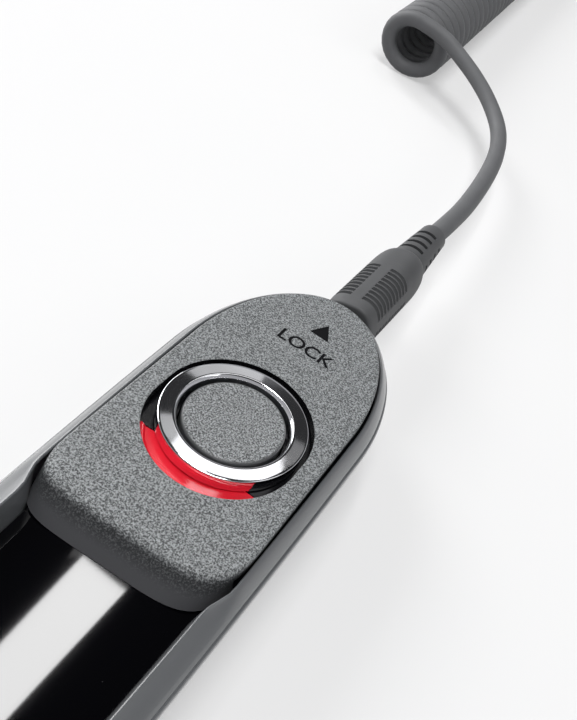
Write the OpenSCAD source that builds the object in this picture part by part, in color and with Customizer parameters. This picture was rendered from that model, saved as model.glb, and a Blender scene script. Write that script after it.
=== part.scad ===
// Wired remote shutter release with a pull-out plug and a curly cord.
// Millimetres. The handle lies along Y with its socket at +Y, and stands on Z = 0.

/* [Handle] */
// Length of the handle, from its tail to the plug's opening
body_l = 102.4; // [98:0.2:116]
// Width across the head
head_w = 29; // [28:0.5:32]
// Width where the tail starts to round off
tail_w = 25.6; // [23:0.2:27]
// Width of the flat that the handle rests on
foot_w = 16; // [12:1:18]
// Length of the rounded nose
nose_l = 22.6; // [20:0.2:26]
// Length of the rounded tail
tail_l = 13; // [10:0.5:18]
// Height of the parting line
parting_z = 12.5; // [12.2:0.1:14]
// Height of the ridge above the parting line
ridge_h = 2.3; // [1.8:0.1:2.8]
// Inset of the ridge round the head
ridge_in = 1.8; // [1.6:0.1:2.2]
// Inset of the ridge along the grip
grip_ridge_in = 2.8; // [2.4:0.1:3]
// Inset of the valley along the grip
valley_in = 3.75; // [3.4:0.05:4.4]
// Depth of the valley below the parting line
valley_drop = 1.2; // [0.8:0.1:1.6]
// Crown of the gloss panel
crown_h = 0.5; // [0.2:0.1:0.6]
// Wall of the lower shell
wall = 1.2; // [1:0.1:1.3]

/* [Head cover] */
// Width of the groove round the cover
groove_w = 0.6; // [0.4:0.1:0.9]
// Height of the cover above the ridge
cover_proud = 0.8; // [0.5:0.1:1.2]
// Thickness of the cover
cover_t = 1.4; // [1.2:0.1:1.6]
// Distance from the lock ring's centre to the foot of the cover's back wall
cover_back = 22.5; // [22:0.1:24]
// Lean of the cover's back wall from upright
cover_lean = 36; // [25:1:42]
// Radius over which the cover's top rounds into its back wall
cover_round = 2; // [1:0.2:3]
// Radius of the cover's top edge at its sides
cover_edge_r = 0.35; // [0.2:0.05:0.5]

/* [Lock ring and button] */
// Distance from the nose's tip to the lock ring's centre
ring_back = 31.6; // [30:0.2:34]
// Outer diameter of the lock ring
ring_d = 18; // [17:0.2:18.4]
// Bore of the lock ring
ring_bore_d = 13.6; // [13:0.2:14.4]
// Height of the lock ring above the cover
ring_proud = 0.4; // [0.2:0.1:0.8]
// Fall of the lock ring's face from its bore to its rim
ring_fall = 0.15; // [0.05:0.05:0.4]
// Distance from the lock ring's centre back to the ends of the red marker
marker_back = 6.3; // [5:0.1:7]
// Gap beside the lock ring in its slot
slot_gap = 0.6; // [0.4:0.1:0.7]
// Gap ahead of the lock ring in its slot
slot_front_gap = 1.1; // [0.7:0.1:1.4]
// Travel of the lock ring
lock_travel = 2.2; // [1.6:0.1:2.4]
// Diameter of the release button
button_d = 12.4; // [11.6:0.2:12.6]
// Depth of the button's face below the ring's top
button_sunk = 0.4; // [0.2:0.1:0.8]
// Travel of the release button
button_travel = 1.4; // [1:0.1:1.5]
// Diameter of the button's stem
stem_d = 4; // [3:0.5:5]
// Wire of the button's return spring
spring_wire = 0.4; // [0.3:0.05:0.45]

/* [Socket and plug] */
// Height of the plug's axis
plug_z = 9.7; // [9.5:0.1:9.8]
// Diameter of the plug
plug_d = 3.5; // [3:0.1:3.6]
// Length of the plug's metal
plug_l = 14; // [12:0.5:14]
// Radial clearance of the plug in its socket
plug_fit = 0.05; // [0.02:0.01:0.08]
// Width of the plug's grip across its flats
grip_w = 8.8; // [8.4:0.1:9.2]
// Length of the plug's grip
grip_l = 22; // [20:0.5:26]
// Number of ribs on each corner of the grip
rib_n = 11; // [8:1:12]
// Depth of the grooves between the ribs
groove_h = 0.35; // [0.2:0.05:0.45]
// Angle that the plug is turned in its socket
plug_turn = 15; // [0:5:45]
// Length of the strain relief
relief_l = 12.7; // [11:0.1:16]
// Diameter of the strain relief at the grip
relief_d = 6.5; // [6:0.1:7]
// Diameter of the strain relief at the cord
relief_end_d = 5; // [4.8:0.1:5.6]

/* [Cord] */
// Diameter of the cord
cord_d = 3.6; // [3.2:0.1:3.7]
// Outer diameter of the curls
curl_d = 16.2; // [15.4:0.2:17]
// Pitch of the curls
curl_pitch = 4.1; // [4.1:0.05:4.4]
// Number of whole curls; half a curl more brings the cord down to the floor
curl_n = 39; // [37:1:40]

/* [Camera plug] */
// Diameter of the camera plug
cam_plug_d = 2.5; // [2.3:0.1:3.5]
// Length of the camera plug's metal
cam_plug_l = 11; // [10:0.5:14]
// Diameter of the camera plug's grip
cam_grip_d = 7.4; // [7:0.1:8]
// Length of the camera plug's grip
cam_grip_l = 18; // [15:0.5:22]

/* [Inside] */
// Thickness of the circuit board
board_t = 1; // [0.8:0.1:1.2]
// Height of the circuit board's top
board_z = 4.4; // [4:0.1:4.6]
// Width of the socket's housing
socket_w = 7; // [6:0.5:7.4]
// Thickness of the contact leaves
leaf_t = 0.25; // [0.15:0.05:0.35]
// Diameter of the screw bosses
boss_d = 4.6; // [4.4:0.1:4.8]
// Diameter of the screws' shanks
screw_d = 1.6; // [1.4:0.1:2]

/* [Hidden] */
$fn = 64;

seat = 0.05;        // gap between pieces that are fixed to each other
slide_gap = 0.15;   // gap under and over what slides
over = 1;           // how far a cut runs past what it cuts

// Heights and stations of the handle
ridge_z = parting_z + ridge_h;
valley_z = parting_z - valley_drop;
cover_z = ridge_z + cover_proud;
roof_z = cover_z - cover_t;
roof_t = 1.1;
ledge_t = 0.8;
ledge_reach = 1.2;
panel_t = 1.4;
panel_z = valley_z - panel_t;
ledge_z = panel_z - seat;
lip_in = wall + 0.4;
port_r = 4.75;      // opening in the nose for the socket and the plug's collar
port_half = sqrt(pow(port_r, 2) - pow(parting_z - plug_z, 2));
nose_cut = nose_l * (1 - sqrt(1 - pow(2 * port_half / head_w, 2)));
tip_y = body_l / 2 + nose_cut;
nose_y = tip_y - nose_l;
tail_y = -body_l / 2 + tail_l;
ring_y = tip_y - ring_back;
cover_in = ridge_in + groove_w;
wall_in = ridge_in + 0.1;
head_lip_in = wall_in + 0.85;
skirt_in = head_lip_in + 0.45;
skirt_t = 1.1;

// The cover's back is a squared-off curve about this point behind the ring's centre, its wall leans,
// and a step of the gloss panel carries it
back_mid = 10;
back_power = 4.5;
back_t = 1;
foot_z = valley_z + crown_h + seat;
round_z = cover_z - cover_round * (1 - sin(cover_lean));
function back_reach(z) = cover_back - (z - foot_z) * tan(cover_lean);
top_reach = back_reach(round_z) - cover_round * cos(cover_lean);
step_reach = 17;
step_y = ring_y - step_reach;
bed_reach = back_reach(roof_z) - back_t - 0.2;
blend_len = 4.2;

nose_steps = 24;
side_steps = 20;
tail_steps = 20;
shell_levels = 6;

function mix(a, b, t) = a + (b - a) * t;
function ease(t) = let (c = min(1, max(0, t))) c * c * (3 - 2 * c);
function side_w(y) = head_w / 2 - (head_w - tail_w) / 2 * pow((nose_y - y) / (nose_y - tail_y), 2);
function behind(y, start) = ease((start - y) / blend_len);

// Places round the handle's outline: each is [x share, y base, y reach], so that an inset fits them all
nose_angles = [for (i = [0 : nose_steps]) 180 * i / nose_steps];
tail_angles = [for (i = [0 : tail_steps]) 180 + 180 * i / tail_steps];
side_ys = [for (i = [1 : side_steps - 1]) mix(nose_y, tail_y, i / side_steps)];

function nose_pt(a, d) = [(head_w / 2 - d) * cos(a), nose_y + (nose_l - d) * sin(a)];
function tail_pt(a, d) = [(tail_w / 2 - d) * cos(a), tail_y + (tail_l - d) * sin(a)];

// Outline inset by a distance that may change with y: inset(i) is d0 ahead of the blend and d1 behind it
function outline(d0, d1, start) = concat(
    [for (a = nose_angles) nose_pt(a, d0)],
    [for (y = side_ys) [-(side_w(y) - mix(d0, d1, behind(y, start))), y]],
    [for (a = tail_angles) tail_pt(a, d1)],
    [for (i = [len(side_ys) - 1 : -1 : 0])
        let (y = side_ys[i]) [side_w(y) - mix(d0, d1, behind(y, start)), y]]);

function at_z(pts, z) = [for (p = pts) [p.x, p.y, z]];

// Stack of equal rings, counterclockwise from above and listed from the bottom up
module stack(rings) {
    n = len(rings[0]);
    m = len(rings);
    polyhedron(
        points = [for (r = rings) for (p = r) p],
        faces = concat(
            [[for (i = [0 : n - 1]) i]],
            [for (k = [0 : m - 2]) for (i = [0 : n - 1]) [k * n + i, (k + 1) * n + i, k * n + (i + 1) % n]],
            [for (k = [0 : m - 2]) for (i = [0 : n - 1])
                [k * n + (i + 1) % n, (k + 1) * n + i, (k + 1) * n + (i + 1) % n]],
            [[for (i = [n - 1 : -1 : 0]) (m - 1) * n + i]]),
        convexity = 6);
}

// Closed frame: the same rings joined first to last, so that they bound a loop with a section
module loop(rings) {
    n = len(rings[0]);
    m = len(rings);
    polyhedron(
        points = [for (r = rings) for (p = r) p],
        faces = concat(
            [for (k = [0 : m - 1]) for (i = [0 : n - 1])
                [k * n + i, ((k + 1) % m) * n + i, k * n + (i + 1) % n]],
            [for (k = [0 : m - 1]) for (i = [0 : n - 1])
                [k * n + (i + 1) % n, ((k + 1) % m) * n + i, ((k + 1) % m) * n + (i + 1) % n]]),
        convexity = 10);
}

module slab(pts, z0, z1) {
    translate([0, 0, z0]) linear_extrude(z1 - z0) polygon(pts);
}

// Stadium along Y about the lock ring's centre
module stadium(r, front, back, z0, z1) {
    translate([0, ring_y, z0]) {
        translate([0, front, 0]) cylinder(h = z1 - z0, r = r);
        translate([0, -back, 0]) cylinder(h = z1 - z0, r = r);
        translate([-r, -back, 0]) cube([2 * r, front + back, z1 - z0]);
    }
}

module along_y(y, z) {
    translate([0, y, z]) rotate([-90, 0, 0]) children();
}

// Screws: one under the tail, two beside the socket
boss_x = socket_w / 2 + 0.8 + boss_d / 2;
screw_spots = [[0, tail_y], [-boss_x, tip_y - 12.6], [boss_x, tip_y - 12.6]];
boss_z = 5.4;
head_r = 1.7;
head_h = 1.1;
head_sunk = 0.3;
head_fit = 0.15;
post_d = 4;
screw_top = 8.6;

// Opening in the nose for the socket
port_y = tip_y - wall_in;
face_t = 0.8;
face_y = port_y + face_t;
plug_nose_gap = 0.5;
plug_y = face_y + plug_nose_gap;

module port() {
    along_y(tip_y - 6, plug_z) cylinder(h = 12, r = port_r);
}

// ---- Handle ----

function shell_ring(a, grow, floor_z) =
    let (d = (head_w - foot_w) / 2 * (1 - sin(a)) + grow)
    at_z(outline(d, d, 0), floor_z + (parting_z - floor_z) * (1 - cos(a)));

module bottom_shell() {
    color([0.30, 0.31, 0.33]) difference() {
        union() {
            difference() {
                stack([for (k = [0 : shell_levels]) shell_ring(90 * k / shell_levels, 0, 0)]);
                stack(concat(
                    [for (k = [0 : shell_levels]) shell_ring(90 * k / shell_levels, wall, wall)],
                    [at_z(outline(wall, wall, 0), parting_z + over)]));
            }
            for (s = screw_spots) translate([s.x, s.y, wall / 2]) cylinder(h = boss_z - wall / 2, d = boss_d);
            for (s = rest_spots) translate([s.x, s.y, wall / 2])
                cylinder(h = board_z - board_t - seat - wall / 2, d = rest_d);
        }
        for (s = screw_spots) translate([s.x, s.y, -over]) {
            cylinder(h = head_h + head_sunk + over, r = head_r + head_fit);
            cylinder(h = boss_z + 2 * over, d = screw_d + 0.3);
        }
        port();
    }
}

// Section of the upper frame at one place: inset and height, from the parting line over the ridge
function frame_section(t, u) =
    let (ridge = mix(ridge_in, grip_ridge_in, t),
         inner = mix(wall_in, valley_in, t),
         shelf = mix(roof_z - roof_t - seat, ledge_z, u),
         reach = inner + mix(head_lip_in - wall_in, ledge_reach, u))
    [[0, parting_z], [ridge * 0.5, parting_z + ridge_h * 0.56], [ridge - 0.25, ridge_z - 0.12],
     [ridge, ridge_z], [ridge + 0.08, ridge_z - 0.08],
     [inner, mix(roof_z - 0.3, valley_z, t)], [inner, shelf], [reach, shelf],
     [reach, ledge_z - ledge_t], [lip_in, ledge_z - ledge_t], [lip_in, parting_z]];

ridge_start = step_y - 1;
shelf_start = step_y + blend_len + (nose_y - tail_y) / side_steps;

function frame_rings() =
    let (ys = outline(0, 0, 0),
         secs = [for (p = ys) frame_section(behind(p.y, ridge_start), behind(p.y, shelf_start))],
         rings = [for (k = [0 : len(secs[0]) - 1])
            [for (i = [0 : len(ys) - 1])
                let (d = secs[i][k][0], q = outline_at(i, d)) [q.x, q.y, secs[i][k][1]]]])
    rings;

// One place of the outline at its own inset
function outline_at(i, d) =
    i <= nose_steps ? nose_pt(nose_angles[i], d)
    : i < nose_steps + side_steps ? let (y = side_ys[i - nose_steps - 1]) [-(side_w(y) - d), y]
    : i <= nose_steps + side_steps + tail_steps ? tail_pt(tail_angles[i - nose_steps - side_steps], d)
    : let (y = side_ys[2 * side_steps + nose_steps + tail_steps - i - 1]) [side_w(y) - d, y];

module top_shell() {
    color([0.34, 0.35, 0.37]) difference() {
        loop(frame_rings());
        port();
    }
}

// Outline of the head cover: d is its inset at the sides, reach its length behind the ring's centre
function cover_outline(d, reach) = concat(
    [for (i = [0 : nose_steps])
        let (a = 180 * i / nose_steps)
        [(head_w / 2 - cover_in - d) * cos(a), nose_y + (nose_l - cover_in - d) * sin(a)]],
    [for (i = [1 : 23])
        let (a = 180 + 180 * i / 24, k = 2 / back_power)
        [(head_w / 2 - cover_in - d) * sign(cos(a)) * pow(abs(cos(a)), k),
         ring_y - back_mid - (reach - back_mid) * pow(abs(sin(a)), k)]]);

// The gloss panel's wide top, the crowned strip that fills the grip
function strip_ring(w, y, x_n) = concat(
    [[w, y, panel_z], [w, y, valley_z]],
    [for (i = [1 : x_n - 1])
        let (s = cos(180 * i / x_n)) [w * s, y, valley_z + crown_h * (1 - pow(s, 4))]],
    [[-w, y, valley_z], [-w, y, panel_z]]);

module grip_strip() {
    x_n = 12;
    front = [for (y = side_ys) if (y < step_y) y];
    rings = concat(
        [for (y = concat([step_y], front))
            strip_ring(side_w(y) - mix(wall_in, valley_in, behind(y, ridge_start)) - seat, y, x_n)],
        [for (i = [0 : tail_steps / 2 - 1])
            let (p = tail_pt(360 - 180 * i / tail_steps, valley_in + seat)) strip_ring(p.x, p.y, x_n)]);
    stack(rings);
}

module cup(extra, z0, z1) {
    stadium(cup_r + extra, cup_front, cup_back, z0, z1);
}

module gloss_panel() {
    color([0.02, 0.02, 0.03]) difference() {
        union() {
            grip_strip();
            intersection() {
                union() {
                    slab(outline(wall_in + seat, wall_in + seat, 0), roof_z - roof_t, roof_z);
                    difference() {
                        slab(outline(skirt_in, skirt_in, 0), panel_z, roof_z - roof_t / 2);
                        translate([0, 0, -over])
                            slab(outline(skirt_in + skirt_t, skirt_in + skirt_t, 0),
                                panel_z, roof_z - roof_t + over);
                    }
                }
                translate([-head_w, step_y, 0]) cube([2 * head_w, body_l, 2 * ridge_z]);
            }
            difference() {
                slab(cover_outline(back_t, bed_reach), panel_z, roof_z);
                translate([-head_w, step_y + skirt_t, 0]) cube([2 * head_w, body_l, 2 * ridge_z]);
                translate([0, 0, -over]) intersection() {
                    slab(cover_outline(back_t + skirt_t, bed_reach - skirt_t),
                        panel_z, roof_z - roof_t + over);
                    translate([-head_w, -body_l, 0]) cube([2 * head_w, 2 * body_l, 2 * ridge_z]);
                }
            }
            intersection() {
                cup(skirt_t, carriage_z - cup_floor, roof_z - roof_t / 2);
                slab(outline(skirt_in, skirt_in, 0), 0, roof_z);
            }
            for (s = screw_spots)
                translate([s.x, s.y, boss_z + seat])
                    cylinder(h = (s.y < 0 ? panel_z + seat : roof_z - roof_t + seat) - boss_z, d = post_d);
        }
        cup(0, carriage_z - slide_gap, roof_z + over);
        stadium(well_way_r, well_way, lock_travel + well_way, panel_z - over, roof_z + over);
        for (s = screw_spots)
            translate([s.x, s.y, boss_z - over]) cylinder(h = screw_top - boss_z + 1.4, d = screw_d + 0.1);
        translate([-socket_w / 2 - 0.3, socket_y - 0.5, panel_z - over])
            cube([socket_w + 0.6, body_l, socket_top_z + 0.05 - panel_z + over]);
    }
}

module head_cover() {
    color([0.42, 0.43, 0.45]) difference() {
        stack(concat(
            [at_z(cover_outline(0, cover_back), foot_z)],
            [for (k = [0 : 5]) let (a = mix(cover_lean, 90, k / 5)) at_z(
                cover_outline(cover_edge_r * pow(a / 90, 6), top_reach + cover_round * cos(a)),
                cover_z - cover_round * (1 - sin(a)))]));
        difference() {
            translate([-head_w, -body_l, 0]) cube([2 * head_w, 2 * body_l, roof_z + seat]);
            intersection() {
                translate([-head_w, -body_l, 0]) cube([2 * head_w, body_l + step_y - seat, 2 * ridge_z]);
                difference() {
                    translate([-head_w, -body_l, 0]) cube([2 * head_w, 2 * body_l, 2 * ridge_z]);
                    slab(cover_outline(back_t - seat, bed_reach + seat), -over, 2 * ridge_z);
                }
            }
        }
        stadium(slot_r, slot_front, slot_back, roof_z - over, cover_z + over);
    }
}

module case_screws() {
    color([0.75, 0.75, 0.77]) for (s = screw_spots) translate([s.x, s.y, head_sunk]) difference() {
        union() {
            cylinder(h = head_h, r = head_r);
            cylinder(h = screw_top - head_sunk, d = screw_d);
        }
        for (a = [0, 90]) rotate(a) translate([-1, -0.2, -over]) cube([2, 0.4, over + 0.5]);
    }
}

// ---- Electrics ----

socket_end_y = port_y - 2.1;
socket_y = socket_end_y - 13;
socket_top_z = roof_z - roof_t - 0.1;
board_margin = 6.5;
board_back = 18;
board_gap = 2;
board_w = head_w - 2 * board_margin;
board_neck_w = socket_w + 1;
board_back_y = ring_y - board_back;
board_wide_y = socket_y - board_gap;
board_front_y = socket_end_y - board_gap;
rest_d = 2.4;
rest_edge = 2;
rest_back = 6;
rest_front = 4;
rest_x = board_w / 2 - rest_edge;
rest_ys = [board_back_y + rest_back, board_wide_y - rest_front];
rest_spots = [for (x = [-rest_x, rest_x]) for (y = rest_ys) [x, y]];

module circuit_board() {
    color([0.10, 0.35, 0.18]) {
        translate([-board_w / 2, board_back_y, board_z - board_t])
            cube([board_w, board_wide_y - board_back_y, board_t]);
        translate([-board_neck_w / 2, board_wide_y - over, board_z - board_t])
            cube([board_neck_w, board_front_y - board_wide_y + over, board_t]);
    }
}

block_l = 5;
block_w = 6;
block_y = ring_y - 13;
leaf_w = 3.2;
leaf_front = 3.6;
leaf_zs = [5.6, 6.8, 8];
block_top = leaf_zs[2] + leaf_t + 0.3;

module contact_block() {
    color([0.85, 0.82, 0.72]) difference() {
        translate([-block_w / 2, block_y, board_z + seat])
            cube([block_w, block_l, block_top - board_z - seat]);
        for (z = leaf_zs) translate([-leaf_w / 2 - 0.02, block_y - over, z - 0.02])
            cube([leaf_w + 0.04, block_l + 2 * over, leaf_t + 0.04]);
    }
}

// Leaf of the switch: a strip through the block, with a tag down to the board behind it
module leaf(k) {
    back = 1.2 + 0.5 * k;
    color([0.85, 0.68, 0.35]) translate([-leaf_w / 2, block_y - back, leaf_zs[k]]) {
        cube([leaf_w, ring_y + leaf_front - block_y + back, leaf_t]);
        translate([leaf_w * k / 3, 0, board_z + seat - leaf_zs[k]])
            cube([leaf_w / 3, leaf_t, leaf_zs[k] - board_z - seat + leaf_t]);
    }
}

module ground_leaf() { leaf(2); }
module focus_leaf() { leaf(1); }
module release_leaf() { leaf(0); }

socket_foot_l = 9;
socket_low_z = 6;
nozzle_r = 3.2;
contact_ys = [for (k = [0 : 2]) socket_y + 2.5 + 4 * k];
window_w = 1.8;
window_l = 2.8;
window_fit = 0.1;
strip_t = 0.2;
bore_l = plug_l + plug_nose_gap + 0.4;

module jack_housing() {
    color([0.05, 0.05, 0.06]) difference() {
        union() {
            translate([-socket_w / 2, socket_y, socket_low_z])
                cube([socket_w, socket_end_y - socket_y, socket_top_z - socket_low_z]);
            translate([-socket_w / 2, socket_y, board_z + seat])
                cube([socket_w, socket_foot_l, socket_low_z - board_z]);
            along_y(socket_end_y - over, plug_z)
                cylinder(h = port_y + 0.1 - socket_end_y + over, r = nozzle_r);
            along_y(port_y + 0.05, plug_z) cylinder(h = face_t - 0.05, r = port_r - 0.2);
        }
        along_y(face_y - bore_l, plug_z) cylinder(h = bore_l + over, r = plug_d / 2 + plug_fit);
        for (y = contact_ys) translate([-window_w / 2, y - window_l / 2, plug_z])
            cube([window_w, window_l, socket_top_z - plug_z + over]);
    }
}

module jack_contacts() {
    w = window_w - 2 * window_fit;
    low = plug_z + plug_d / 2 + plug_fit + 0.15;
    color([0.85, 0.68, 0.35]) for (y = contact_ys) translate([-w / 2, y - window_l / 2 + seat, low]) {
        cube([w, window_l - 2 * window_fit, strip_t]);
        cube([w, strip_t, socket_top_z - low]);
    }
}

// ---- Lock slide and button ----

slot_r = ring_d / 2 + slot_gap;
slot_front = slot_front_gap - slot_gap;
slot_back = lock_travel - slot_gap + 0.4;
flange_r = slot_r + 0.6;
flange_t = 0.75;
flange_mid = slot_back + 0.4;
cup_r = flange_r + 0.2;
cup_front = flange_mid;
cup_back = flange_mid + lock_travel;
cup_floor = 1.2;
carriage_top = roof_z - 0.35;
carriage_z = carriage_top - 1.4;
well_r = button_d / 2 + 0.3;
well_wall = 1.1;
well_way_r = well_r + well_wall + 1.15;
well_way = 0.6;
cap_h = 2.4;
button_z = cover_z + ring_proud - button_sunk;
cap_z = button_z - cap_h;
well_z = cap_z - 3.2;
well_floor_t = 1;
stem_z = leaf_zs[2] + leaf_t + 0.2;

// The part of the flange behind the ring, which the red marker fills
module marker_zone(extra, z0, z1) {
    difference() {
        stadium(flange_r, flange_mid, flange_mid, z0, z1);
        translate([0, ring_y, z0 - over]) cylinder(h = z1 - z0 + 2 * over, r = ring_d / 2 - 0.3 - extra);
        translate([-head_w, ring_y - marker_back + extra, z0 - over])
            cube([2 * head_w, body_l, z1 - z0 + 2 * over]);
    }
}

module slider_carriage() {
    color([0.06, 0.06, 0.07]) difference() {
        union() {
            stadium(flange_r, flange_mid, flange_mid, carriage_z, carriage_top);
            translate([0, ring_y, well_z - well_floor_t])
                cylinder(h = carriage_top - well_z + well_floor_t, r = well_r + well_wall);
        }
        marker_zone(seat, carriage_z + flange_t, carriage_top + over);
        translate([0, ring_y, well_z]) cylinder(h = carriage_top - well_z + over, r = well_r);
        translate([0, ring_y, well_z - 2 * over]) cylinder(h = 4 * over, d = stem_d + 0.12);
    }
}

// Raised lip of the marker, along the slot's edge and clear of the lock ring
lip_w = 0.8;
lip_gap = 0.06;
lip_h = 0.2;

module marker_lip(inset, z1) {
    difference() {
        stadium(slot_r - lip_gap - inset, 0, slot_back, carriage_top - lip_h, z1);
        stadium(slot_r - lip_gap - lip_w + inset, 0, slot_back, carriage_top - 2 * lip_h, z1 + over);
        translate([0, ring_y, 0]) cylinder(h = 2 * ridge_z, r = ring_d / 2 + lip_gap);
        translate([-head_w, ring_y - marker_back, 0]) cube([2 * head_w, body_l, 2 * ridge_z]);
    }
}

module lock_marker() {
    color([0.80, 0.05, 0.10]) {
        marker_zone(0, carriage_z + flange_t + seat, carriage_top);
        marker_lip(0, carriage_top + lip_h / 2);
        marker_lip(lip_w / 5, carriage_top + lip_h);
    }
}

module chrome_ring() {
    foot = carriage_top + seat;
    top = cover_z + ring_proud;
    color([0.85, 0.86, 0.88]) translate([0, ring_y, 0]) rotate_extrude() polygon(concat(
        [[ring_bore_d / 2, foot], [ring_d / 2 - 0.2, foot], [ring_d / 2, foot + 0.2]],
        [for (a = [0 : 30 : 90])
            [ring_d / 2 - 0.15 + 0.15 * cos(a), top - ring_fall - 0.15 + 0.15 * sin(a)]],
        [[ring_bore_d / 2 + 0.35, top], [ring_bore_d / 2 + 0.28, top - 0.04], [ring_bore_d / 2, top - 0.4]]));
}

module release_button() {
    color([0.22, 0.23, 0.25]) translate([0, ring_y, 0]) rotate_extrude() polygon([
        [0, stem_z], [stem_d / 2 - 0.3, stem_z], [stem_d / 2, stem_z + 0.3], [stem_d / 2, cap_z],
        [button_d / 2, cap_z], [button_d / 2, button_z - 0.5], [button_d / 2 - 0.5, button_z - 0.05],
        [button_d / 2 - 0.9, button_z], [0, button_z - 0.1]]);
}

// ---- Tubes ----

// Tube along points with a normal at each: rings of sides corners, joined by triangles
module tube(pts, dirs, normals, r, sides) {
    n = len(pts);
    ring_pts = [for (k = [0 : n - 1])
        let (u = normals[k], v = cross(dirs[k], u))
        for (i = [0 : sides - 1])
            let (a = 360 * (i + 0.5) / sides) pts[k] + r * (cos(a) * u + sin(a) * v)];
    polyhedron(
        points = ring_pts,
        faces = concat(
            [[for (i = [0 : sides - 1]) i]],
            [for (k = [0 : n - 2]) for (i = [0 : sides - 1])
                [k * sides + i, (k + 1) * sides + i, k * sides + (i + 1) % sides]],
            [for (k = [0 : n - 2]) for (i = [0 : sides - 1])
                [k * sides + (i + 1) % sides, (k + 1) * sides + i, (k + 1) * sides + (i + 1) % sides]],
            [[for (i = [sides - 1 : -1 : 0]) (n - 1) * sides + i]]),
        convexity = 10);
}

function unit(v) = v / norm(v);

// Plain cord along hand-set points, with set directions at its ends
module cord(pts, first_dir, last_dir) {
    n = len(pts);
    dirs = [for (k = [0 : n - 1])
        k == 0 ? first_dir : k == n - 1 ? last_dir : unit(pts[k + 1] - pts[k - 1])];
    normals = [for (d = dirs) unit([0, 0, 1] - d.z * d)];
    tube(pts, dirs, normals, cord_d / 2, 8);
}

// Curls: the first starts on top, moving towards -X; the axis leans towards -X as it runs along +Y
curl_start = [-35.4, 152.2, curl_d / 2];
curl_lean = 3.7;
curl_steps = 8;
curl_r = (curl_d - cord_d) / 2;
curl_axis = [-sin(curl_lean), cos(curl_lean), 0];
curl_side = [cos(curl_lean), sin(curl_lean), 0];
curl_count = curl_n * curl_steps + curl_steps / 2;

function curl_normal(i) = let (a = 90 + 360 * i / curl_steps) cos(a) * curl_side + sin(a) * [0, 0, 1];
function curl_pt(i) = curl_start + curl_axis * curl_pitch * i / curl_steps + curl_r * curl_normal(i);
function curl_dir(i) =
    let (a = 90 + 360 * i / curl_steps)
    unit(2 * PI * curl_r * (cos(a) * [0, 0, 1] - sin(a) * curl_side) + curl_pitch * curl_axis);

curl_pts = [for (i = [0 : curl_count]) curl_pt(i)];
curl_first = curl_pts[0] - cord_d * curl_dir(0);
curl_last = curl_pts[curl_count] + cord_d * curl_dir(curl_count);
curl_gap = min([for (i = [0 : curl_count - curl_steps - 1])
    min([for (j = [i + curl_steps / 2 : i + curl_steps + 1]) norm(curl_pts[j] - curl_pts[i])])]) - cord_d;
echo(least_gap_between_curls = curl_gap);

// Lead from the plug to the first curl: points set by hand
lead_pts = [
    [0, 92, 9.7], [0.3, 98, 9.5], [0.2, 104, 9.2], [-0.4, 112, 9], [-1.2, 119, 8.9],
    [-2.6, 126, 8.9], [-4.6, 132, 9.1], [-7.2, 137, 9.5], [-10.5, 141, 10.2], [-14.5, 144.6, 11.2],
    [-19, 147.6, 12.3], [-23.6, 150, 13.3], [-28, 151.6, 14.1]];

// Tail from the last curl to the camera plug, which lies on the floor beside it: points set by hand
tail_pts = [[-39, 315, 1.8], [-35.5, 315.5, 2], [-32, 315.8, 2.6], [-29, 315.9, 3.3]];
cam_x = -26;
cam_y = 316;
cam_z = cam_grip_d / 2;

relief_y = plug_y + grip_l;
lead_y = relief_y + relief_l;

module cord_lead() {
    color([0.22, 0.23, 0.24])
        cord(concat([[0, lead_y, plug_z]], lead_pts, [curl_first]), [0, 1, 0], curl_dir(0));
}

module cord_curl() {
    color([0.22, 0.23, 0.24]) tube(
        concat([curl_first], curl_pts, [curl_last]),
        concat([curl_dir(0)], [for (i = [0 : curl_count]) curl_dir(i)], [curl_dir(curl_count)]),
        concat([curl_normal(0)], [for (i = [0 : curl_count]) curl_normal(i)], [curl_normal(curl_count)]),
        cord_d / 2, 6);
}

module cord_tail() {
    color([0.22, 0.23, 0.24])
        cord(concat([curl_last], tail_pts, [[cam_x, cam_y, cam_z]]), curl_dir(curl_count), [1, 0, 0]);
}

module button_spring() {
    turns = 3;
    r = stem_d / 2 + 1.2;
    low = well_z + spring_wire / 2 + seat;
    high = cap_z - spring_wire / 2 - seat;
    steps = turns * curl_steps;
    ang = [for (i = [0 : steps]) 360 * i / curl_steps];
    pts = [for (i = [0 : steps]) [r * cos(ang[i]), ring_y + r * sin(ang[i]), mix(low, high, i / steps)]];
    dirs = [for (i = [0 : steps]) unit([-sin(ang[i]), cos(ang[i]), (high - low) / (2 * PI * r * turns)])];
    normals = [for (i = [0 : steps]) [cos(ang[i]), sin(ang[i]), 0]];
    color([0.75, 0.75, 0.77]) tube(pts, dirs, normals, spring_wire / 2, 6);
}

// Bowed strip that bears on the carriage's side and holds it where it is put
module friction_spring() {
    n = 8;
    half_l = 3.4;
    near = well_r + well_wall + 0.15;
    far = well_way_r - 0.05 - strip_t;
    bow = [for (i = [-n : n]) [mix(near, far - 0.2, pow(i / n, 2)), i / n * half_l]];
    color([0.75, 0.75, 0.77]) translate([0, ring_y - lock_travel / 2, carriage_z - cup_floor + 0.25])
        linear_extrude(0.8) polygon(concat(bow, [for (i = [2 * n : -1 : 0]) bow[i] + [strip_t, 0]]));
}

// ---- Plugs ----

// Shares of a plug's length, from its shoulder: sleeve, band, ring, band, tip
band_l = 0.8;
tip_l = 3.6;
contact_l = 1.9;

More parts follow.
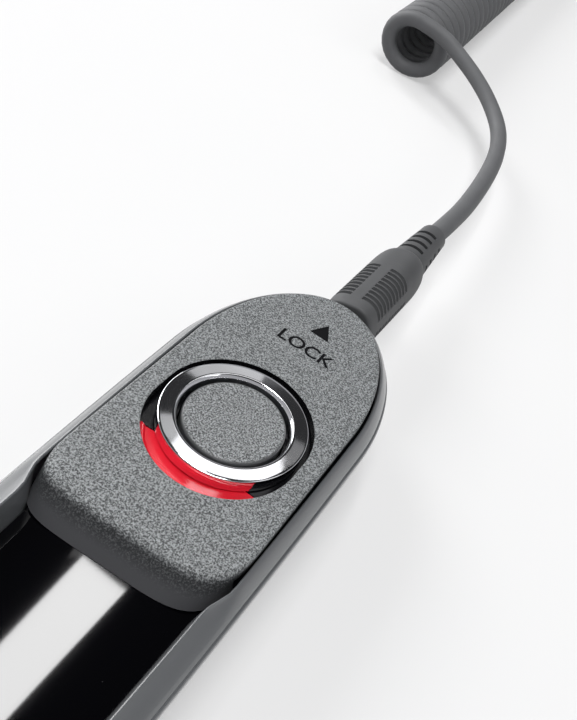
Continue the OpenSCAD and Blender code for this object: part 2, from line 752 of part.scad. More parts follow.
module plug_part(kind, d, l) {
    sleeve_l = l - tip_l - contact_l - 2 * band_l;
    if (kind == "sleeve") cylinder(h = sleeve_l, d = d);
    if (kind == "ring") translate([0, 0, sleeve_l + band_l]) cylinder(h = contact_l, d = d);
    if (kind == "bands") for (z = [sleeve_l, sleeve_l + band_l + contact_l])
        translate([0, 0, z]) cylinder(h = band_l, d = d);
    if (kind == "tip") translate([0, 0, l - tip_l]) rotate_extrude() polygon([
        [0, 0], [d * 0.5, 0], [d * 0.5, 0.3], [d * 0.34, 0.9], [d * 0.34, 1.2], [d * 0.48, 1.8],
        [d * 0.46, 2.2], [d * 0.2, tip_l - 0.2], [d * 0.1, tip_l], [0, tip_l]]);
}

module jack_plug(kind) {
    translate([0, plug_y, plug_z]) rotate([90, 0, 0]) plug_part(kind, plug_d, plug_l);
}

module plug_sleeve() { color([0.85, 0.72, 0.40]) jack_plug("sleeve"); }
module plug_ring() { color([0.85, 0.72, 0.40]) jack_plug("ring"); }
module plug_tip() { color([0.85, 0.72, 0.40]) jack_plug("tip"); }
module plug_insulators() { color([0.05, 0.05, 0.05]) jack_plug("bands"); }

// Grip: rounded square sections along the plug, with grooves cut between the ribs on its four corners
// and a domed shoulder
grip_sides = 40;
collar_l = 3.4;
collar_d = 8.8;
rib_pitch = 1.2;
rib_groove = [[0, 0], [0.15, 1], [0.65, 1], [0.8, 0]];
dome_l = 5.2;

function square_r(a, w, corner) =
    w / 2 / pow(pow(abs(cos(a)), corner) + pow(abs(sin(a)), corner), 1 / corner);
function groove_share(a) = abs(a % 90 - 45) < 31 ? 1 : 0;
function grip_ring(y, w, corner, groove) = [for (i = [grip_sides : -1 : 1])
    let (a = 360 * i / grip_sides, r = square_r(a, w, corner) - groove * groove_share(a))
    [r * cos(a + plug_turn), y, r * sin(a + plug_turn)]];

module plug_grip() {
    rib_y = plug_y + collar_l + 0.4;
    dome_y = plug_y + grip_l - dome_l;
    color([0.22, 0.23, 0.25]) translate([0, 0, plug_z]) stack([for (ring = concat(
        [grip_ring(plug_y, collar_d - 0.6, 2.2, 0), grip_ring(plug_y + 0.3, collar_d, 2.2, 0),
         grip_ring(plug_y + collar_l, collar_d, 2.4, 0)],
        [for (i = [0 : rib_n - 1]) for (s = rib_groove)
            grip_ring(rib_y + rib_pitch * i + s.x, grip_w, 3.2, groove_h * s.y)],
        [for (a = [0 : 18 : 90])
            grip_ring(dome_y + dome_l * sin(a), mix(relief_d + 0.2, grip_w, pow(cos(a), 0.8)),
                mix(2, 3.2, cos(a)), 0)]))
        ring]);
}

// Strain relief: tapered round sleeve with rows of slots, on +Z from its grip end
slot_rows = 4;
slot_span = 52;

module relief(l, d, end_d) {
    slot_l = 0.9;
    pitch = (l - 4) / slot_rows;
    difference() {
        rotate_extrude() polygon(concat(
            [[0, 0], [d / 2, 0], [d / 2, 1]],
            [for (a = [0 : 15 : 60]) [end_d / 2 - 0.8 + 0.8 * cos(a), l - 0.8 + 0.8 * sin(a)]],
            [[cord_d / 2, l], [0, l]]));
        for (k = [0 : slot_rows - 1]) translate([0, 0, 1.8 + pitch * k])
            for (q = [0 : 3]) rotate([0, 0, 90 * q - slot_span / 2]) rotate_extrude(angle = slot_span)
                translate([end_d / 2 - 0.6, 0]) square([d, slot_l]);
    }
}

module strain_relief() {
    color([0.22, 0.23, 0.25]) translate([0, relief_y, plug_z]) rotate([-90, 0, 0])
        rotate([0, 0, -plug_turn]) relief(relief_l, relief_d, relief_end_d);
}

cam_relief_l = 11;
cam_relief_d = 6;
cam_shoulder_x = cam_x + cam_relief_l;
cam_pin_x = cam_shoulder_x + cam_grip_l;

module camera_strain_relief() {
    color([0.22, 0.23, 0.25]) translate([cam_shoulder_x, cam_y, cam_z]) rotate([0, -90, 0])
        relief(cam_relief_l, cam_relief_d, relief_end_d);
}

module camera_plug_grip() {
    color([0.22, 0.23, 0.25]) translate([cam_pin_x, cam_y, cam_z]) rotate([0, -90, 0])
        rotate_extrude() polygon(concat(
        [[0, 0], [cam_grip_d / 2 - 0.8, 0], [cam_grip_d / 2 - 0.4, 0.4], [cam_grip_d / 2 - 0.4, 3]],
        [for (k = [0 : 5]) for (s = [[0, 0], [0.5, 0.4], [1, 0.4], [1.5, 0]])
            [cam_grip_d / 2 - 0.4 + s.y, 3 + 1.6 * k + s.x]],
        [[cam_grip_d / 2 - 0.4, cam_grip_l - 4], [3, cam_grip_l], [0, cam_grip_l]]));
}

module camera_plug(kind) {
    translate([cam_pin_x, cam_y, cam_z]) rotate([0, 90, 0]) plug_part(kind, cam_plug_d, cam_plug_l);
}

module camera_plug_sleeve() { color([0.85, 0.72, 0.40]) camera_plug("sleeve"); }
module camera_plug_ring() { color([0.85, 0.72, 0.40]) camera_plug("ring"); }
module camera_plug_tip() { color([0.85, 0.72, 0.40]) camera_plug("tip"); }
module camera_plug_insulators() { color([0.05, 0.05, 0.05]) camera_plug("bands"); }

bottom_shell();
top_shell();
gloss_panel();
head_cover();
case_screws();
circuit_board();
contact_block();
ground_leaf();
focus_leaf();
release_leaf();
jack_housing();
jack_contacts();
friction_spring();
slider_carriage();
lock_marker();
chrome_ring();
release_button();
button_spring();
plug_sleeve();
plug_ring();
plug_tip();
plug_insulators();
plug_grip();
strain_relief();
cord_lead();
cord_curl();
cord_tail();
camera_strain_relief();
camera_plug_grip();
camera_plug_sleeve();
camera_plug_ring();
camera_plug_tip();
camera_plug_insulators();
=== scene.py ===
import bmesh
import bpy
from math import cos, degrees, hypot, pi, radians, sin, sqrt, tan
from mathutils import Matrix, Vector


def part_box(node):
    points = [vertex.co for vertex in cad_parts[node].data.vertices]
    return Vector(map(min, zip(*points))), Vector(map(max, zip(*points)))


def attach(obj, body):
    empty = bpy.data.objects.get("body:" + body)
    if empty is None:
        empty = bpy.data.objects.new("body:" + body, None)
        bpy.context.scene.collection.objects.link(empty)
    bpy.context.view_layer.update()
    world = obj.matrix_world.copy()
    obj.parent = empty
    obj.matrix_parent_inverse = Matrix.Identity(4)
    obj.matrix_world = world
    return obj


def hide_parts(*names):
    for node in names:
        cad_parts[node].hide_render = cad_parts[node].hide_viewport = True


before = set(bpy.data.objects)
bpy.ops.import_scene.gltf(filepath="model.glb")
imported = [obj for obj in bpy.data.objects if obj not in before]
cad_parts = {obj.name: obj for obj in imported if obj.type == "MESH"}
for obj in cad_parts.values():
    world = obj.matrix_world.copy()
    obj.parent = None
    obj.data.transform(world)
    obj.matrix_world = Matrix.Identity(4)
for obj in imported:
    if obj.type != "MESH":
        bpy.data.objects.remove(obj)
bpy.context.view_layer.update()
bpy.ops.object.select_all(action="DESELECT")
print("frame loaded")

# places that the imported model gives, all in metres
ringLow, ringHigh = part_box("chrome_ring")
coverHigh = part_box("head_cover")[1]
frameLow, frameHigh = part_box("top_shell")
gripLow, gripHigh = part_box("plug_grip")
reliefLow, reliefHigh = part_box("strain_relief")
ringY = (ringLow.y + ringHigh.y) / 2
plugZ = (reliefLow.z + reliefHigh.z) / 2

hair = 0.00001       # keeps faces apart that must not meet, and narrows a lathe's poles
fitGap = 0.00005     # between pieces that lie on each other
# how far the cutters go, which is past every piece
cutReach = {"side": 0.03, "front": 0.08, "back": -0.08, "low": 0.005, "high": 0.03}


def mix(a, b, t):
    return a + (b - a) * t


def ease(t):
    t = min(1.0, max(0.0, t))
    return t * t * (3 - 2 * t)


def facing(across, up, back):
    # the turn of a camera or lamp that has these axes
    return Matrix((across, up, back)).transposed().to_euler()


cameraView = {
    "place": (0.022277, -0.051721, 0.099875),
    "azimuth": 2.302,     # degrees round the object, then above it
    "elevation": 38.886,
    "roll": 31.679,
    "lens": 46.196,
    "sensor": 36,
    "shift": (-0.23992, 0.00711),   # the view is the left part of a wider one
    "clip": (0.005, 20),
}


def makeCamera():
    az, el, roll = (radians(cameraView[k]) for k in ("azimuth", "elevation", "roll"))
    back = Vector((sin(az) * cos(el), -cos(az) * cos(el), sin(el)))
    flat = Vector((cos(az), sin(az), 0))
    rise = back.cross(flat)
    across = cos(roll) * flat + sin(roll) * rise
    up = cos(roll) * rise - sin(roll) * flat
    bpy.ops.object.camera_add(location=cameraView["place"])
    camera = bpy.context.object
    camera.name = "studioCamera"
    camera.rotation_euler = facing(across, up, back)
    camera.data.lens = cameraView["lens"]
    camera.data.sensor_width = cameraView["sensor"]
    camera.data.sensor_fit = "AUTO"
    camera.data.shift_x, camera.data.shift_y = cameraView["shift"]
    camera.data.clip_start, camera.data.clip_end = cameraView["clip"]
    bpy.context.scene.camera = camera


makeCamera()
print("camera placed")


# modelling helpers

def pick(piece, *others):
    # selects these pieces alone and makes the first one active
    bpy.ops.object.select_all(action="DESELECT")
    for each in (piece, *others):
        each.select_set(True)
    bpy.context.view_layer.objects.active = piece


def startEdit(piece):
    pick(piece)
    bpy.ops.object.mode_set(mode="EDIT")


def endEdit():
    bpy.ops.object.mode_set(mode="OBJECT")


def editMesh(piece):
    mesh = bmesh.from_edit_mesh(piece.data)
    mesh.verts.ensure_lookup_table()
    return mesh


def settle(piece):
    # puts the piece's place into its mesh, with its object at the origin
    pick(piece)
    bpy.ops.object.transform_apply(location=True, rotation=True, scale=True)


def outwards():
    # in edit mode: joins doubles, then points the faces outwards
    bpy.ops.mesh.select_all(action="SELECT")
    bpy.ops.mesh.remove_doubles(threshold=1e-6)
    bpy.ops.mesh.normals_make_consistent(inside=False)


def finishPiece(piece, angle, body, slotName, *nodes):
    # edges that bend by more than the angle stay sharp; with 0 every face stays flat
    if angle:
        pick(piece)
        bpy.ops.object.shade_smooth_by_angle(angle=radians(angle))
    settle(piece)
    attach(piece, body)
    if nodes:
        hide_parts(*nodes)
    return piece


def startRing(name, points, centre=(0, 0, 0)):
    # in edit mode: a circle with its vertices put at these points, all selected
    bpy.ops.mesh.primitive_circle_add(vertices=len(points), radius=0.01, location=centre)
    piece = bpy.context.object
    piece.name = name
    startEdit(piece)
    mesh = editMesh(piece)
    for vert, place in zip(mesh.verts, points):
        vert.co = place
    bmesh.update_edit_mesh(piece.data)
    bpy.ops.mesh.select_all(action="SELECT")
    return piece


def loft(name, sections, closed=False):
    # a circle is shaped to the first section, then extruded through the rest, ring by ring;
    # closed joins the last ring to the first one, and otherwise both get a cap
    piece = startRing(name, sections[0])
    places = {i: i for i in range(len(sections[0]))}   # each vertex's number in its section
    for section in sections[1:]:
        bpy.ops.mesh.extrude_region()
        mesh = editMesh(piece)
        fresh = {}
        for vert in [v for v in mesh.verts if v.select]:
            for edge in vert.link_edges:
                old = edge.other_vert(vert)
                if old.index in places and not old.select:
                    fresh[vert.index] = places[old.index]
                    vert.co = section[places[old.index]]
        places = fresh
        bmesh.update_edit_mesh(piece.data)
    mesh = editMesh(piece)
    for edge in mesh.edges:
        edge.select = edge.is_boundary
    bmesh.update_edit_mesh(piece.data)
    if closed:
        bpy.ops.mesh.bridge_edge_loops()
    else:
        bpy.ops.mesh.edge_face_add()
    outwards()
    endEdit()
    return piece


def turned(name, profile, centre=(0, 0, 0), steps=96):
    # profile of (radius, height) points spun round Z at the centre
    piece = startRing(name, [(radius, 0, height) for radius, height in profile], centre)
    bpy.ops.mesh.spin(steps=steps, angle=2 * pi, center=centre, axis=(0, 0, 1))
    outwards()
    endEdit()
    return piece


def cutWith(piece, cutter, operation="DIFFERENCE"):
    modifier = piece.modifiers.new("cut", "BOOLEAN")
    modifier.object = cutter
    modifier.operation = operation
    modifier.solver = "EXACT"
    pick(piece)
    bpy.ops.object.modifier_apply(modifier=modifier.name)
    bpy.data.objects.remove(cutter)


def addCylinder(radius, depth, place, sides, turn=(0, 0, 0)):
    bpy.ops.mesh.primitive_cylinder_add(vertices=sides, radius=radius, depth=depth,
            location=place, rotation=turn)
    return bpy.context.object


def addBox(back, front, top=cutReach["high"]):
    # a cutter from one y to the other, wider than the handle
    low = (-cutReach["side"], back, cutReach["low"])
    high = (cutReach["side"], front, top)
    bpy.ops.mesh.primitive_cube_add(size=1, location=[(a + b) / 2 for a, b in zip(low, high)])
    box = bpy.context.object
    box.scale = [b - a for a, b in zip(low, high)]
    settle(box)
    return box


def arc(cx, cy, r, start, end, steps):
    # points along an arc, in degrees, as pairs
    angles = [radians(mix(start, end, k / steps)) for k in range(steps + 1)]
    return [(cx + r * cos(a), cy + r * sin(a)) for a in angles]


def level(points, z):
    return [Vector((x, y, z)) for x, y in points]


# the cord: lead, curls and tail in one line

cordSize = {
    "diameter": 0.0036,
    "curlDiameter": 0.0162,
    "pitch": 0.0041,
    "turns": 39.5,
    "curlStart": (-0.0354, 0.1522, 0.0081),
    "lean": 3.7,          # degrees that the curls' axis leans off +Y
    "stepsPerTurn": 28,
    "stepsPerSpan": 5,    # between two given points
    "sides": 20,
    "plugShoulder": (0.0005, 0.086107, 0.0097),
    "cameraShoulder": (-0.026, 0.316, 0.0037),
    "lead": [
        (0.0008, 0.092, 0.0097), (0.0009, 0.098, 0.0095), (0.0007, 0.104, 0.0092),
        (0.0001, 0.112, 0.009), (-0.0007, 0.119, 0.0089), (-0.0019, 0.126, 0.0089),
        (-0.0036, 0.132, 0.0091), (-0.0059, 0.137, 0.0095), (-0.009, 0.141, 0.0102),
        (-0.0131, 0.1446, 0.0112), (-0.018, 0.1476, 0.0123), (-0.0233, 0.15, 0.0133),
        (-0.028, 0.1516, 0.0141)],
    "tail": [
        (-0.039, 0.315, 0.00184), (-0.0355, 0.3155, 0.002), (-0.032, 0.3158, 0.0026),
        (-0.029, 0.3159, 0.0033)],
}


def curlPoint(turn):
    lean = radians(cordSize["lean"])
    along = Vector((-sin(lean), cos(lean), 0))
    side = Vector((cos(lean), sin(lean), 0))
    reach = (cordSize["curlDiameter"] - cordSize["diameter"]) / 2
    angle = radians(90) + 2 * pi * turn
    return (Vector(cordSize["curlStart"]) + along * cordSize["pitch"] * turn
            + reach * (cos(angle) * side + sin(angle) * Vector((0, 0, 1))))


def curlHeading(turn):
    near = 0.001          # of a turn
    return (curlPoint(turn + near) - curlPoint(turn - near)).normalized()


def smoothPath(points):
    # a smooth curve through given points
    points = [Vector(p) for p in points]
    steps = cordSize["stepsPerSpan"]
    out = []
    for k in range(len(points) - 1):
        before = points[max(0, k - 1)]
        a, b = points[k], points[k + 1]
        after = points[min(len(points) - 1, k + 2)]
        span = (b - a).length
        ta = (b - before).normalized() * span
        tb = (after - a).normalized() * span
        for i in range(steps):
            t = i / steps
            out.append(a * (2 * t**3 - 3 * t**2 + 1) + ta * (t**3 - 2 * t**2 + t)
                       + b * (3 * t**2 - 2 * t**3) + tb * (t**3 - t**2))
    return out + [points[-1]]


def cordLine():
    turns, steps, run = cordSize["turns"], cordSize["stepsPerTurn"], cordSize["diameter"]
    curls = [curlPoint(i / steps) for i in range(int(turns * steps) + 1)]
    first = curls[0] - curlHeading(0) * run
    last = curls[-1] + curlHeading(turns) * run
    lead = smoothPath([cordSize["plugShoulder"]] + cordSize["lead"] + [first, curls[0]])
    tail = smoothPath([curls[-1], last] + cordSize["tail"] + [cordSize["cameraShoulder"]])
    return lead + curls[1:-1] + tail


def lengthOf(points):
    return sum((b - a).length for a, b in zip(points, points[1:]))


def makeCord(points):
    bpy.ops.curve.primitive_bezier_curve_add()
    piece = bpy.context.object
    piece.name = "curly_cord"
    curve = piece.data
    curve.splines.clear()
    spline = curve.splines.new("POLY")
    spline.points.add(len(points) - 1)
    for point, place in zip(spline.points, points):
        point.co = (*place, 1)
    curve.dimensions = "3D"
    curve.bevel_depth = cordSize["diameter"] / 2
    curve.bevel_resolution = cordSize["sides"] // 4 - 1
    curve.use_fill_caps = True
    bpy.ops.object.convert(target="MESH")
    piece = bpy.context.object
    startEdit(piece)
    outwards()
    endEdit()
    return finishPiece(piece, 50, "cable", "cord_rubber", "cord_lead", "cord_curl", "cord_tail")


cordPoints = cordLine()
cord = makeCord(cordPoints)
print("cord laid,", round(lengthOf(cordPoints), 3), "m")


# the handle's outline

handleSize = {
    "headWidth": 0.029,
    "tailWidth": 0.0256,
    "noseLength": 0.0226,
    "tailLength": 0.013,
    "parting": 0.0125,       # height of the parting line
    "seam": 0.00016,         # bevels either side of the parting line
    "portRadius": 0.00475,
    "portOpen": 0.0052,      # the opening round the plug, wide enough to part the ridge
    "portDepth": 0.012,
    "noseSteps": 72, "sideSteps": 56, "tailSteps": 56,
}
portHalf = sqrt(handleSize["portRadius"]**2 - (handleSize["parting"] - plugZ)**2)
tipY = frameHigh.y + handleSize["noseLength"] * (
    1 - sqrt(1 - (2 * portHalf / handleSize["headWidth"])**2))
noseY = tipY - handleSize["noseLength"]
tailY = frameLow.y + handleSize["tailLength"]


def halfWidth(y):
    t = (noseY - y) / (noseY - tailY)
    return mix(handleSize["headWidth"] / 2, handleSize["tailWidth"] / 2, t * t)


def outlinePlaces():
    # once round the handle: an angle at each end, and a y along each side
    nose, side, tail = (handleSize[k] for k in ("noseSteps", "sideSteps", "tailSteps"))
    sides = [mix(noseY, tailY, i / side) for i in range(1, side)]
    return ([("nose", 180 * i / nose) for i in range(nose + 1)]
            + [("left", y) for y in sides]
            + [("tail", 180 + 180 * i / tail) for i in range(tail + 1)]
            + [("right", y) for y in reversed(sides)])


def outlinePoint(place, inset):
    kind, value = place
    ends = {"nose": (handleSize["headWidth"], handleSize["noseLength"], noseY),
            "tail": (handleSize["tailWidth"], handleSize["tailLength"], tailY)}
    if kind in ends:
        width, length, middle = ends[kind]
        a = radians(value)
        return (width / 2 - inset) * cos(a), middle + (length - inset) * sin(a)
    return (halfWidth(value) - inset) * (-1 if kind == "left" else 1), value


def roundTheHandle(sectionAt):
    # sectionAt gives (inset, height) pairs at a place's y; each pair makes one ring
    places = outlinePlaces()
    sections = [sectionAt(outlinePoint(p, 0)[1]) for p in places]
    return [[Vector((*outlinePoint(p, s[k][0]), s[k][1])) for p, s in zip(places, sections)]
            for k in range(len(sections[0]))]


def addPortCutter():
    cutter = addCylinder(handleSize["portOpen"], handleSize["portDepth"], (0, tipY, plugZ), 96,
            (radians(90), 0, 0))
    settle(cutter)
    return cutter


# lower shell

shellSize = {
    "footWidth": 0.016,      # the flat underneath
    "wall": 0.0012,
    "steps": 26,
    "bevel": [(0, 3), (0.4, 1), (1, 0.3), (2, 0)],   # inset and drop, in widths of the seam
}
screwSize = {
    "aside": 0.0066, "behindTip": 0.0126,            # places of the front two
    "boss": 0.0023, "bossFoot": 0.0006, "bossTop": 0.0054,
    "recess": 0.00185, "recessDepth": 0.0014,
    "bore": 0.00095, "boreDepth": 0.014,
}


def makeLowerShell():
    size, screw = shellSize, screwSize
    bow = (handleSize["headWidth"] - size["footWidth"]) / 2
    top, seam, wall = handleSize["parting"], handleSize["seam"], size["wall"]
    angles = [radians(90 * k / size["steps"]) for k in range(size["steps"] + 1)]
    outer = [(bow * (1 - sin(a)), top * (1 - cos(a))) for a in angles[:-1]]
    edge = [(seam * inset, top - seam * drop) for inset, drop in size["bevel"]]
    inner = [(bow * (1 - sin(a)) + wall, wall + (top - wall) * (1 - cos(a)))
             for a in angles[:-3]]
    section = outer + edge + [(wall, top)] + inner[::-1]
    shell = loft("lower_shell", roundTheHandle(lambda y: section))
    spots = [(0, tailY)] + [(side * screw["aside"], tipY - screw["behindTip"])
            for side in (-1, 1)]
    for x, y in spots:
        middle = screw["bossFoot"] / 2 + screw["bossTop"] / 2
        boss = addCylinder(screw["boss"], screw["bossTop"] - screw["bossFoot"],
                (x, y, middle), 48)
        cutWith(shell, boss, "UNION")
    for x, y in spots:
        for hole in ("recess", "bore"):
            cutWith(shell, addCylinder(screw[hole], 2 * screw[hole + "Depth"], (x, y, 0), 64))
    cutWith(shell, addPortCutter())
    return finishPiece(shell, 30, "handle", "shell_grey", "bottom_shell")


lowerShell = makeLowerShell()
print("lower shell made")


# upper frame: an outer slope, a ridge, and an inner wall that opens into the grip's valley

frameSize = {
    "ridge": 0.0148,           # height of the ridge
    "headRidge": 0.0018,       # inset of the ridge round the head, then along the grip
    "gripRidge": 0.0028,
    "headInner": 0.0019,       # inset of the inner wall round the head, then along the grip
    "gripInner": 0.00375,
    "headShelf": 0.00085,      # width of the inner shelf round the head, then along the grip
    "gripShelf": 0.0012,
    "valley": 0.0113,          # height of the valley
    "blend": 0.0042,           # length over which the head's section becomes the grip's
    "gripFrom": 0.001,         # behind the step, where that change starts
    "shelfFrom": 0.0054,       # ahead of the step, where the inner shelf starts to drop
    "roof": 0.0142,            # underside of the cover
    "roofThick": 0.0011,
    "sill": 0.0003,            # from the roof down to the inner wall's foot
    "lip": 0.0016,             # inset of the wall below the ledge
    "ledge": 0.00905,          # height of the ledge's underside
    "ledgeThick": 0.0008,
    "bow": 0.00012,            # how far the outer slope swells
    "crest": 0.00032,          # radius of the ridge
}
stepY = ringY - 0.017          # where the gloss panel steps up under the cover


def behind(y, start):
    return ease((start - y) / frameSize["blend"])


def gripShare(y):
    # 0 round the head, 1 along the grip
    return behind(y, stepY - frameSize["gripFrom"])


def makeUpperFrame():
    size = frameSize
    top, seam = handleSize["parting"], handleSize["seam"]
    peak, crest = size["ridge"], size["crest"]

    def section(y):
        t, u = gripShare(y), behind(y, stepY + size["shelfFrom"])
        ridge = mix(size["headRidge"], size["gripRidge"], t)
        inner = mix(size["headInner"], size["gripInner"], t)
        foot = mix(size["roof"] - size["sill"], size["valley"], t)
        shelf = mix(size["roof"] - size["roofThick"], size["ledge"] + size["ledgeThick"], u)
        reach = inner + mix(size["headShelf"], size["gripShelf"], u)
        points = [(seam * 3.6, top), (seam * 2.4, top + seam * 0.6)]
        # shares of the crest's radius make the slope, crest and wall meet
        for k in range(1, 9):      # outer slope
            s = k / 8
            swell = size["bow"] * sin(pi * s)
            points.append((mix(seam * 2, ridge - crest * 0.8, s) - swell * 0.8,
                    mix(top + seam, peak - crest * 0.55, s) + swell * 0.6))
        for k in range(1, 7):      # crest
            a = radians(mix(140, 10, k / 6))
            points.append((ridge + crest * 0.1 + crest * 0.75 * cos(a) * 0.9,
                    peak - crest + crest * sin(a)))
        side = min(ridge + crest * 0.76, inner - hair)
        for k in range(1, 7):      # inner wall
            s = k / 6
            points.append((mix(side, inner, s ** 0.8), mix(peak - crest, foot, s)))
        return points + [(inner, shelf), (reach, shelf), (reach, size["ledge"]),
                (size["lip"], size["ledge"]), (size["lip"], top)]

    piece = loft("upper_frame", roundTheHandle(section), closed=True)
    cutWith(piece, addPortCutter())
    return finishPiece(piece, 32, "handle", "shell_grey", "top_shell")


upperFrame = makeUpperFrame()
print("upper frame made")


# the cover's own outline: a half ellipse ahead and a squared-off curve behind

coverSize = {
    "inset": 0.0024,
    "backMid": 0.01,           # behind the ring's centre, where the squared-off curve starts
    "squareness": 4.5, "leftSquareness": 6,
    "foot": 0.01185,
    "top": coverHigh.z,
    "wall": 0.00095,
    "reachFoot": 0.0225,       # behind the ring's centre, at the foot of the back wall
    "lean": 36,                # degrees that the back wall leans from upright
    "round": 0.002,            # radius between the top and the back wall
    "edge": 0.00035,           # radius of the top edge at the sides
    "bed": 0.01959,            # inside of the back wall, behind the ring's centre
    "frontSteps": 90, "backSteps": 150, "wallSteps": 7, "roundSteps": 32,
}
slotSize = {"radius": 0.0096, "front": 0.0005, "back": 0.002, "edge": 0.00007, "below": 0.001}
signSize = {
    "word": "LOCK",
    "left": -0.0042, "right": 0.0041, "rise": 0.0162, "capHeight": 0.0022,  # from the ring
    "arrowBase": 0.0206, "arrowTip": 0.0236, "arrowHalf": 0.0015,
    "depth": 0.00012, "ink": 0.5,      # ink is the share of the depth that it fills
    "weight": 0.02,                    # in the letters' own units
}


def coverOutline(inset, reach):
    s = coverSize
    w = handleSize["headWidth"] / 2 - s["inset"] - inset
    front = handleSize["noseLength"] - s["inset"] - inset
    mid = ringY - s["backMid"]
    length = reach - s["backMid"]
    out = []
    for i in range(s["frontSteps"] + 1):
        a = radians(180 * i / s["frontSteps"])
        out.append((w * cos(a), noseY + front * sin(a)))
    for i in range(s["backSteps"] + 1):
        a = radians(180 + 180 * i / s["backSteps"])
        n = s["squareness"] if cos(a) > 0 else s["leftSquareness"]
        r = (abs(cos(a) / w) ** n + abs(sin(a) / length) ** n) ** (-1 / n)
        out.append((r * cos(a), mid + r * sin(a)))
    return out


def stadiumOutline(radius, front, back, steps=48):
    # counterclockwise about the ring's centre, from its right side
    angles = [pi * i / steps for i in range(steps + 1)]
    ahead = [(radius * cos(a), ringY + front + radius * sin(a)) for a in angles]
    return ahead + [(-x, ringY - back - (y - ringY - front)) for x, y in ahead]


def makeWord(z, height):
    sign = signSize
    bpy.ops.object.text_add()
    word = bpy.context.object
    word.data.body = sign["word"]
    word.data.extrude = height / 2
    word.data.offset = sign["weight"]
    bpy.ops.object.convert(target="MESH")
    word = bpy.context.object
    xs = [v.co.x for v in word.data.vertices]
    ys = [v.co.y for v in word.data.vertices]
    across = (sign["right"] - sign["left"]) / (max(xs) - min(xs))
    rise = sign["capHeight"] / (max(ys) - min(ys))
    for v in word.data.vertices:
        v.co = (sign["left"] + (v.co.x - min(xs)) * across,
                ringY + sign["rise"] + (v.co.y - min(ys)) * rise, v.co.z + z)
    return word


def makeArrow(z, height):
    base, half = ringY + signSize["arrowBase"], signSize["arrowHalf"]
    corners = [(-half, base), (half, base), (0, ringY + signSize["arrowTip"])]
    return loft("arrow", [level(corners, z + side * height / 2) for side in (-1, 1)])


def makeCover():
    s, slot = coverSize, slotSize
    lean, bend = radians(s["lean"]), s["round"]
    wallTop = s["top"] - bend * (1 - sin(lean))
    wallReach = (wallTop - s["foot"]) * tan(lean)
    flatEnd = s["reachFoot"] - wallReach - bend * cos(lean)
    rings = [level(coverOutline(0, s["reachFoot"]), s["foot"])]
    for k in range(1, s["wallSteps"]):
        z = mix(s["foot"], wallTop, k / s["wallSteps"])
        reach = s["reachFoot"] - (z - s["foot"]) * tan(lean)
        rings.append(level(coverOutline(0, reach), z))
    for k in range(s["roundSteps"] + 1):
        a = mix(lean, radians(90), k / s["roundSteps"])
        z = s["top"] - bend * (1 - sin(a))
        down = max(0, z - (s["top"] - s["edge"]))
        inset = s["edge"] * (1 - sqrt(max(0, 1 - (down / s["edge"]) ** 2)))
        rings.append(level(coverOutline(inset, flatEnd + bend * cos(a)), z))
    cover = loft("head_cover_grained", rings)
    under = frameSize["roof"] + fitGap
    hollow = coverOutline(s["wall"], s["bed"] + fitGap)
    cutWith(cover, loft("hollow", [level(hollow, z) for z in (cutReach["low"], under)]))
    cutWith(cover, addBox(stepY - fitGap, cutReach["front"], under))
    # the slot, which flares at the cover's top
    heights = [(0, under - slot["below"]), (0, s["top"] - slot["edge"]),
               (2 * slot["edge"], s["top"] + slot["edge"])]
    cutWith(cover, loft("slot", [
        level(stadiumOutline(slot["radius"] + flare, slot["front"], slot["back"]), z)
        for flare, z in heights]))
    for make in (makeWord, makeArrow):
        cutWith(cover, make(s["top"], 2 * signSize["depth"]))
    return finishPiece(cover, 28, "handle", "cover_grain", "head_cover")


def makeInk(name, make):
    # fills the lower part of the engraved word or arrow
    height = signSize["depth"] * signSize["ink"]
    ink = make(coverSize["top"] - signSize["depth"] + height / 2, height)
    ink.name = name
    return finishPiece(ink, 0, "handle", "socket_black")


cover = makeCover()
word, arrow = makeInk("lock_word", makeWord), makeInk("lock_arrow", makeArrow)
print("cover made")


# gloss panel: a plate under the cover and a crowned strip along the grip

panelSize = {
    "bottom": 0.0099,
    "crown": 0.0005, "flatness": 4,            # rise of the strip's middle, and its power
    "skirt": 0.0032, "skirtWall": 0.0011,
    "groove": 0.0008, "grooveEnd": 0.0026,     # drop of the plate's edge round the cover
    "grooveSlope": 0.0001,
    "cup": 0.0104, "cupFront": 0.0024, "cupBack": 0.0046,
    "stations": 60, "tailStations": 30, "across": 40,
}


def makePlate():
    s, roof = panelSize, frameSize["roof"]
    rim = frameSize["headInner"] + fitGap
    under = roof - frameSize["roofThick"]
    wall = s["skirt"] + s["skirtWall"]
    steps = [(wall, under), (wall, s["bottom"]), (s["skirt"], s["bottom"]),
             (s["skirt"], under), (rim, under), (rim, roof - s["groove"]),
             (s["grooveEnd"], roof - s["groove"]),
             (s["grooveEnd"] + s["grooveSlope"], roof)]
    plate = loft("gloss_panel_polished", roundTheHandle(lambda y: steps))
    cutWith(plate, addBox(cutReach["back"], stepY))
    cup = stadiumOutline(s["cup"], s["cupFront"], s["cupBack"])
    cutWith(plate, loft("cup", [level(cup, cutReach[end]) for end in ("low", "high")]))
    return plate


